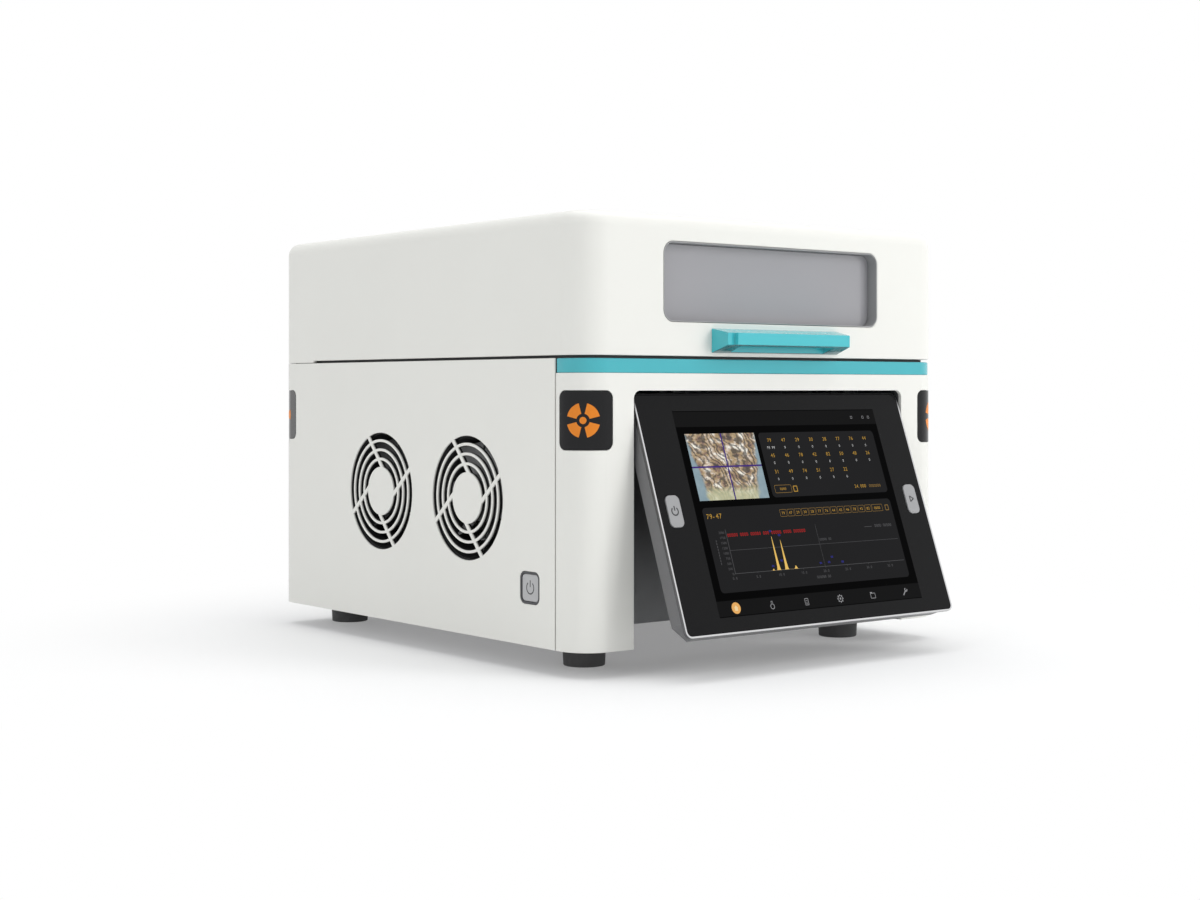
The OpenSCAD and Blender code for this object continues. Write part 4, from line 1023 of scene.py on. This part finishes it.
class Ink:
    """Flat shapes gathered into one mesh. place(u, v) gives a point and the way it faces."""

    def __init__(self, place):
        self.place = place
        self.verts = []
        self.faces = []
        self.flat = []

    def shape(self, corners, faces):
        start = len(self.verts)
        for u, v in corners:
            self.verts.append(self.place(u, v))
            self.flat.append((u, v))
        for face in faces:
            ring = [start + i for i in face]
            a, b, c = (self.verts[i][0] for i in ring[:3])
            normal = (b - a).cross(c - a)
            if normal.dot(self.verts[ring[0]][1]) < 0:
                ring.reverse()
            self.faces.append(ring)

    def poly(self, corners):
        self.shape(corners, [list(range(len(corners)))])

    def box(self, u0, v0, u1, v1):
        self.poly([(u0, v0), (u1, v0), (u1, v1), (u0, v1)])

    def edge(self, u0, v0, u1, v1, r):
        """Corners of a box with rounded corners."""
        u, v = (u0 + u1) / 2, (v0 + v1) / 2
        return [(u + x, v + y) for x, y in rounded(u1 - u0, v1 - v0, r, 5)]

    def pill(self, u0, v0, u1, v1, r):
        self.poly(self.edge(u0, v0, u1, v1, r))

    def outline(self, u0, v0, u1, v1, r, t):
        """A line of thickness t inside the edge of a box with rounded corners."""
        outer = self.edge(u0, v0, u1, v1, r)
        inner = self.edge(u0 + t, v0 + t, u1 - t, v1 - t, max(r - t, 0.05))
        n = len(outer)
        faces = [[i, (i + 1) % n, n + (i + 1) % n, n + i] for i in range(n)]
        self.shape(outer + inner, faces)

    def arc(self, u, v, r0, r1, start, end, steps=24, rings=1):
        """Part of a ring, from r0 to r1, between two angles in degrees."""
        corners = []
        for i in range(steps + 1):
            a = math.radians(start + (end - start) * i / steps)
            for k in range(rings + 1):
                r = r0 + (r1 - r0) * k / rings
                corners.append((u + r * math.cos(a), v + r * math.sin(a)))
        row = rings + 1
        self.shape(corners, [
            [i * row + k, i * row + k + 1, (i + 1) * row + k + 1, (i + 1) * row + k]
            for i in range(steps) for k in range(rings)
        ])

    def disc(self, u, v, r):
        self.poly([(u + x, v + y) for x, y in circle(r, 28)])

    def line(self, u0, v0, u1, v1, t):
        d = Vector((u1 - u0, v1 - v0))
        n = Vector((-d.y, d.x)).normalized() * t / 2
        self.poly([
            (u0 + n.x, v0 + n.y), (u1 + n.x, v1 + n.y),
            (u1 - n.x, v1 - n.y), (u0 - n.x, v0 - n.y),
        ])

    def text(self, words, u, v, h, centred=False):
        """Digits and dashes, h high, with their foot at v and v running down."""
        if centred:
            u -= h * DIGIT_STEP * len(words) / 2
        for i, letter in enumerate(words):
            if letter != " ":
                corners, faces = glyph(letter)
                self.shape([(u + h * (x + i * DIGIT_STEP), v - h * y) for x, y in corners], faces)

    def piece(self, name, mat, body, slot, uv=None):
        """Makes the mesh. uv is the box that its map spans, where the material needs one."""
        mesh = bpy.data.meshes.new(name)
        mesh.from_pydata([p for p, _ in self.verts], [], self.faces)
        mesh.materials.append(mat)
        if uv:
            u0, v0, u1, v1 = uv
            layer = mesh.uv_layers.new(name="screen")
            for loop in mesh.loops:
                u, v = self.flat[loop.vertex_index]
                layer.data[loop.index].uv = ((u - u0) / (u1 - u0), (v1 - v) / (v1 - v0))
        obj = bpy.data.objects.new(name, mesh)
        scene.collection.objects.link(obj)
        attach(obj, body)


# How far a print stands off the surface under it
PRINT_OFF = 0.04

# Corner marks: thick arcs and a dot, wrapped round each corner cover

# Middle of a mark below the top of the casing's base
MARK_DROP = 42
MARK_ARC = (4.6, 11.8)
MARK_DOT_R = 2.4


def corner_place(side, rear):
    """The surface of one corner cover, with u round the corner and v upwards."""
    r = REAR_R if rear else FRONT_R
    x = side * (HALF_W - r)
    y = CASING_D - r if rear else r

    def place(u, v):
        a = math.radians(45) + u / r
        out = Vector((math.cos(a) * side, math.sin(a) if rear else -math.sin(a), 0))
        reach = r + PRINT_OFF
        return casing(x + reach * out.x, y + reach * out.y, BASE_H - MARK_DROP + v), out

    return place


for side, way in ((-1, "left"), (1, "right")):
    for rear, end in ((False, "front"), (True, "rear")):
        mark = Ink(corner_place(side, rear))
        middle, half = (0, 21) if rear else (45, 31)
        for quarter in range(4):
            aim = 90 * quarter + middle
            mark.arc(0, 0, *MARK_ARC, aim - half, aim + half, 16, 10)
        mark.arc(0, 0, 0.05, MARK_DOT_R, 0, 360, 32, 4)
        mark.piece("corner_mark_%s_%s" % (end, way), orange_print, "casing", "black_gloss")

# Symbols on the push button, the display's keys and the rocker


def power_symbol(ink, r, t):
    """The generic on-off symbol, r in radius: a broken ring and a bar, v running upwards."""
    ink.arc(0, 0, r - t, r, 90 + 38, 90 + 322, 36)
    ink.box(-t / 2, r * 0.12, t / 2, r * 1.15)


button_lo, button_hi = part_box("side_button")
button_mid = (button_lo + button_hi) / 2


def button_place(u, v):
    x = button_lo.x - 0.03 * MM
    return Vector((x, button_mid.y - u * MM, button_mid.z + v * MM)), Vector((-1, 0, 0))


symbol = Ink(button_place)
power_symbol(symbol, 4.6, 0.9)
symbol.piece("side_button_symbol", dark_print, "side_button", "dark_frame")

# The keys' middles in the display's frame, and how far the symbols on them stand out
start_lo, start_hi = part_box("start_key")
KEY_X = (start_lo.x + start_hi.x) / 2 / MM
KEY_Z = -85
KEY_OUT = 0.63


def key_ink(x):
    return Ink(lambda u, v: (display(x + u, -KEY_OUT, KEY_Z + v), display_out))


symbol = key_ink(-KEY_X)
power_symbol(symbol, 3.3, 1.0)
symbol.piece("power_key_symbol", dark_print, "power_key", "dark_frame")

symbol = key_ink(KEY_X)
symbol.line(-1.7, -2.1, 2.1, 0, 0.9)
symbol.line(2.1, 0, -1.7, 2.1, 0.9)
symbol.line(-1.7, 2.3, -1.7, -2.3, 0.9)
symbol.piece("start_key_symbol", dark_print, "start_key", "dark_frame")

# The rocker's face is hollow: part of a cylinder about an axis to the rear of its pivot
rocker_axis = Vector(joints["power_rocker_tip"]["pos_m"])
rocker_lean = Matrix.Rotation(math.radians(7), 3, "X")
DISH_R = 12
DISH_Y = 15


def rocker_place(u, v):
    point = Vector((-u, DISH_Y + PRINT_OFF - math.sqrt(DISH_R ** 2 - v ** 2), v))
    return rocker_axis + rocker_lean @ (point * MM), rocker_lean @ Vector((0, 1, 0))


symbol = Ink(rocker_place)
for k in range(6):
    symbol.box(-0.35, 1.7 + 0.4 * k, 0.35, 2.1 + 0.4 * k)
symbol.arc(0, -2.9, 0.8, 1.35, 0, 360, 32, 2)
symbol.piece("power_rocker_marks", white_print, body_of("power_rocker"), "dark_frame")

# ---- The lit screen: digits, dashes and plain shapes only ----

# All places on the screen are in millimetres, u from its left and v down from its top
SCREEN_W, SCREEN_H = 199.5, 147

# Where the display's middle falls on the screen, and the screen's drop from its top edge
SCREEN_MID = 98.5
SCREEN_TOP = 13.4

# Depth of each layer behind the display's face
GROUND, PANEL, PICTURE, WORDS, PEAKS, ICON, OVER = 0.17, 0.14, 0.12, 0.1, 0.08, 0.07, 0.06


def screen_layer(depth):
    return Ink(lambda u, v: (display(u - SCREEN_MID, depth, -SCREEN_TOP - v), display_out))


def show(layer, name, mat, uv=None):
    layer.piece(name, mat, "display", "screen_glass", uv)


lit_black = lit("lit_black", (0.0012, 0.0012, 0.0013))
lit_bar = lit("lit_bar", (0.0085, 0.0085, 0.0088))
lit_panel = lit("lit_panel", (0.0165, 0.0165, 0.0175))
lit_grey = lit("lit_grey", (0.3, 0.3, 0.31))
lit_faint = lit("lit_faint", (0.1, 0.1, 0.105))
lit_white = lit("lit_white", (0.55, 0.55, 0.55))
lit_amber = lit("lit_amber", (0.5, 0.29, 0.05))
lit_dim = lit("lit_dim", (0.28, 0.17, 0.05))
lit_orange = lit("lit_orange", (0.88, 0.46, 0.14))
lit_pale = lit("lit_pale", (0.95, 0.72, 0.4))
lit_yellow = lit("lit_yellow", (0.85, 0.55, 0.14))
lit_blue = lit("lit_blue", (0.05, 0.05, 0.42))
lit_cross = lit("lit_cross", (0.06, 0.03, 0.2))
lit_red = lit("lit_red", (0.5, 0.02, 0.02))

ground = screen_layer(GROUND)
ground.box(0, 0, SCREEN_W, SCREEN_H)
show(ground, "screen_ground", lit_black)

panels = screen_layer(PANEL)
panels.pill(75.4, 16.9, 193, 65.2, 3)
panels.pill(6.3, 70.2, 192.4, 130.4, 3)
show(panels, "screen_panels", lit_panel)

bars = screen_layer(PANEL)
bars.box(0, 0.6, SCREEN_W, 11.7)
bars.box(0, 135.7, SCREEN_W, 146.4)
show(bars, "screen_bars", lit_bar)

amber, white, dim, faint, grey, orange = (screen_layer(WORDS) for _ in range(6))

# Results: the number of each element that the panel lists, and its reading below it
ELEMENTS = (
    ("79", "47", "29", "30", "28", "77", "76", "44"),
    ("45", "46", "78", "42", "82", "50", "48", "26"),
    ("31", "49", "74", "51", "27", "22"),
)
for row, (numbers, v) in enumerate(zip(ELEMENTS, (23.9, 35.4, 47.5))):
    for i, number in enumerate(numbers):
        u = 85 + 13.88 * i
        amber.text(number, u, v, 2.6, centred=True)
        white.text("99.99" if row + i == 0 else "0", u, v + 5.2, 1.9, centred=True)

# Key, small mark, total and caption at the panel's foot
dim.outline(78.8, 56.2, 95.2, 62.1, 1, 0.3)
amber.text("0000", 86.9, 60.1, 1.9, centred=True)
amber.outline(96.9, 57.2, 101, 61.7, 0.5, 0.6)
amber.text("24.000", 159.2, 60.9, 2.5)
dim.text("0000000", 174.4, 60.9, 2.2)

# Title of the spectrum and its row of boxes, the last one wider
amber.text("79-47", 8.8, 78.2, 3.5)
BOXES = 13
listed = [number for numbers in ELEMENTS for number in numbers][:BOXES] + ["0000"]
for i, number in enumerate(listed):
    u0 = 78.1 + 7.18 * i
    u1 = 182.6 if i == BOXES else u0 + 6.4
    dim.outline(u0, 74.2, u1, 79.5, 0.6, 0.25)
    amber.text(number, (u0 + u1) / 2, 77.9, 2.0, centred=True)
dim.outline(185.4, 74.9, 189, 79.2, 0.5, 0.5)

# Axes of the spectrum, their numbers and captions
AXIS_U = 23
BASE_V = 117.6
for i in range(8):
    u = 21.8 + 21.89 * i
    faint.text(str(5.0 * i), u, 121.7, 1.8, centred=True)
    faint.line(u, BASE_V, u, BASE_V + 1, 0.2)
for i in range(9):
    words = str(2000 - 250 * i)
    faint.text(words, 21.6 - 1.31 * len(words), 89.1 + 3.67 * i, 1.6)
    faint.line(12.5, 93.4 + 2 * i, 12.5, 94.8 + 2 * i, 0.5)
faint.text("000000 00", 98.6, 125.8, 1.9)
faint.line(AXIS_U, 86.3, AXIS_U, BASE_V + 0.3, 0.35)
faint.line(AXIS_U - 0.4, BASE_V, 190.8, BASE_V, 0.3)

# Threshold, cursor with its reading, and key of the curve
faint.line(AXIS_U, 101.2, 190, 101.2, 0.2)
faint.line(109.3, 86.4, 109.3, BASE_V, 0.2)
faint.text("00000 00", 110.2, 98.7, 1.8)
faint.line(158.6, 90.7, 166.3, 90.7, 0.3)
faint.text("0000 00000", 169.3, 91.4, 2.2)

# Three small marks in the upper bar
for u in (174.3, 186.4, 192.4):
    grey.outline(u - 1, 5.2, u + 1, 7.2, 0.4, 0.3)

# Plain icons in the lower bar: a flask, a list, a dial, a folder and a tool
ICON_V = 141.7
DIAL_U = 116.1
grey.arc(49.8, ICON_V + 0.8, 1.5, 2.0, -60, 240)
grey.outline(49, ICON_V - 3, 50.6, ICON_V - 0.6, 0.3, 0.35)
grey.outline(81, ICON_V - 2.6, 84.6, ICON_V + 2.4, 0.5, 0.4)
for v in (-1, 0.2, 1.2):
    grey.line(81.9, ICON_V + v, 83.7, ICON_V + v, 0.3)
grey.arc(DIAL_U, ICON_V, 1.9, 2.4, 0, 360, 32)
grey.arc(DIAL_U, ICON_V, 0, 0.8, 0, 360)
for x, y in circle(1, 8):
    grey.line(DIAL_U + 2.3 * x, ICON_V + 2.3 * y, DIAL_U + 3 * x, ICON_V + 3 * y, 0.7)
grey.outline(146.9, ICON_V - 1.8, 151.9, ICON_V + 2.2, 0.6, 0.4)
grey.box(146.9, ICON_V - 2.5, 149.1, ICON_V - 1.7)
grey.line(181, ICON_V + 2, 184.2, ICON_V - 1.4, 0.9)
grey.arc(184.6, ICON_V - 1.8, 0.7, 1.5, -20, 250)

# Home icon: a house on an orange disc
HOME_U, HOME_V = 16.3, 141.2
orange.disc(HOME_U, HOME_V, 4)
home = screen_layer(ICON)
house = ((-1.9, 0), (0, -1.9), (1.9, 0), (1.3, 0), (1.3, 1.9), (-1.3, 1.9), (-1.3, 0))
home.poly([(HOME_U + u, HOME_V + v) for u, v in house])

show(amber, "screen_amber", lit_amber)
show(white, "screen_white", lit_white)
show(dim, "screen_dim", lit_dim)
show(faint, "screen_faint", lit_faint)
show(grey, "screen_grey", lit_grey)
show(orange, "screen_orange", lit_orange)
show(home, "screen_home", lit_pale)


def peak(u):
    """Height of the spectrum, in screen millimetres, at u."""
    lines = ((64.2, 25.4, 0.8), (71.8, 21.9, 0.85), (59.1, 1.2, 0.7), (80.8, 2.3, 1.0))
    return 0.04 + sum(h * math.exp(-(((u - c) / w) ** 2)) for c, h, w in lines)


def spectrum(first, last, step, foot):
    """The filled curve, as a strip of narrow faces."""
    count = int((last - first) / step)
    corners = []
    for i in range(count + 1):
        u = first + step * i
        corners += [(u, foot - peak(u)), (u, foot)]
    curve = screen_layer(PEAKS)
    curve.shape(corners, [[2 * i, 2 * i + 2, 2 * i + 3, 2 * i + 1] for i in range(count)])
    show(curve, "screen_spectrum", lit_yellow)


spectrum(56, 84, 0.35, BASE_V - 0.1)

# Numbers of the lines in the spectrum
blue = screen_layer(OVER)
for u, v in (
    (64.4, 90.1), (72, 93.4), (59.3, 115.1), (68.6, 111.6),
    (105.7, 115.7), (114, 115.5), (118.2, 111.8), (127.5, 115.9),
):
    blue.text("00", u, v, 1.5, centred=True)
show(blue, "screen_blue", lit_blue)

# The camera picture's edges on the screen, and the cross over it
VIEW_LEFT, VIEW_TOP, VIEW_RIGHT, VIEW_LOW = 6.4, 16.8, 71.6, 65.2
VIEW = (VIEW_LEFT, VIEW_TOP, VIEW_RIGHT, VIEW_LOW)
cross = screen_layer(OVER)
cross.line(39.5, VIEW_TOP, 39.5, VIEW_LOW, 1.2)
cross.line(VIEW_LEFT, 41.1, VIEW_RIGHT, 41.1, 1.2)
show(cross, "screen_cross", lit_cross)

# A red line of digits over the spectrum
red = screen_layer(WORDS)
red.text("00000 0000 00000 000 00000 0000 000000", 23.8, 91.6, 2.4)
show(red, "screen_red", lit_red)

# ---- The camera picture ----


def ramped(tree, value, stops):
    """A colour ramp through (position, colour) stops."""
    ramp = node(tree, "ShaderNodeValToRGB")
    while len(ramp.color_ramp.elements) < len(stops):
        ramp.color_ramp.elements.new(0.5)
    for element, (at, colour) in zip(ramp.color_ramp.elements, stops):
        element.position = at
        element.color = (*colour, 1)
    link(tree, value, ramp.inputs[0])
    return ramp.outputs[0]


def wire_colour(tree, where, bend):
    """Twisted gold wire: bent rings of light and shade over brown to pale tones."""
    stretch = node(tree, "ShaderNodeMapping")
    stretch.inputs["Scale"].default_value = (1.7, 0.75, 1)
    link(tree, where, stretch.inputs["Vector"])
    mixed = node(tree, "ShaderNodeMix", data_type="VECTOR")
    mixed.inputs[0].default_value = 0.45
    link(tree, stretch.outputs[0], mixed.inputs[4])
    link(tree, bend.outputs["Color"], mixed.inputs[5])
    coils = node(tree, "ShaderNodeTexWave", wave_type="RINGS", rings_direction="SPHERICAL")
    for label, value in (("Scale", 5.5), ("Distortion", 3.5), ("Detail", 3.0), ("Detail Scale", 1.6)):
        coils.inputs[label].default_value = value
    link(tree, mixed.outputs[1], coils.inputs["Vector"])
    shine = ranged(tree, coils.outputs["Fac"], 0.06, 0.7, 0.25, 1.1, True)
    tones = ramped(tree, noise(tree, where, 7, 4, 0.6), (
        (0.3, (0.05, 0.03, 0.02)), (0.4, (0.25, 0.15, 0.1)), (0.47, (0.36, 0.25, 0.11)),
        (0.54, (0.5, 0.38, 0.28)), (0.64, (0.9, 0.88, 0.78)),
    ))
    return blend(tree, 1.0, tones, grey_of(tree, shine), "MULTIPLY")


def camera_picture():
    """A made-up close view of gold wire on a tray, drawn by nodes on the screen's own map."""
    mat, tree = new_material("camera_picture")
    shader = node(tree, "ShaderNodeBsdfPrincipled")
    out = node(tree, "ShaderNodeOutputMaterial")
    where = node(tree, "ShaderNodeUVMap", uv_map="screen").outputs[0]
    split = node(tree, "ShaderNodeSeparateXYZ")
    link(tree, where, split.inputs[0])
    across, up = split.outputs[0], split.outputs[1]
    bend = node(tree, "ShaderNodeTexNoise")
    bend.inputs["Scale"].default_value = 3.2
    bend.inputs["Detail"].default_value = 5
    link(tree, where, bend.inputs["Vector"])
    tray = noise(tree, where, 6, 4, 0.6)
    # The tray shows at both sides, and less of it towards the top
    edge = maths(tree, "ABSOLUTE", maths(tree, "SUBTRACT", across, 0.5))
    reach = maths(tree, "ADD", edge, maths(tree, "MULTIPLY", bend.outputs["Fac"], 0.25))
    fall = maths(tree, "SUBTRACT", reach, maths(tree, "MULTIPLY", up, 0.16))
    side = ranged(tree, fall, 0.44, 0.5, 0.0, 1.0, True)
    cool = blend(tree, tray, (0.10, 0.19, 0.24, 1), (0.34, 0.45, 0.5, 1))
    # A pale holder shows at the foot
    foot = maths(tree, "ADD", up, maths(tree, "MULTIPLY", tray, 0.22))
    low = ranged(tree, foot, 0.2, 0.34, 0.75, 0.0, True)
    glass = blend(tree, tray, (0.3, 0.32, 0.14, 1), (0.78, 0.8, 0.55, 1))
    wire = wire_colour(tree, where, bend)
    colour = blend(tree, side, blend(tree, low, wire, glass), cool)
    shader.inputs["Base Color"].default_value = (0.012, 0.012, 0.012, 1)
    shader.inputs["Roughness"].default_value = 0.12
    shader.inputs["Emission Strength"].default_value = 0.9
    link(tree, colour, shader.inputs["Emission Color"])
    link(tree, shader.outputs[0], out.inputs["Surface"])
    return mat


picture = screen_layer(PICTURE)
picture.box(*VIEW)
show(picture, "screen_picture", camera_picture(), VIEW)
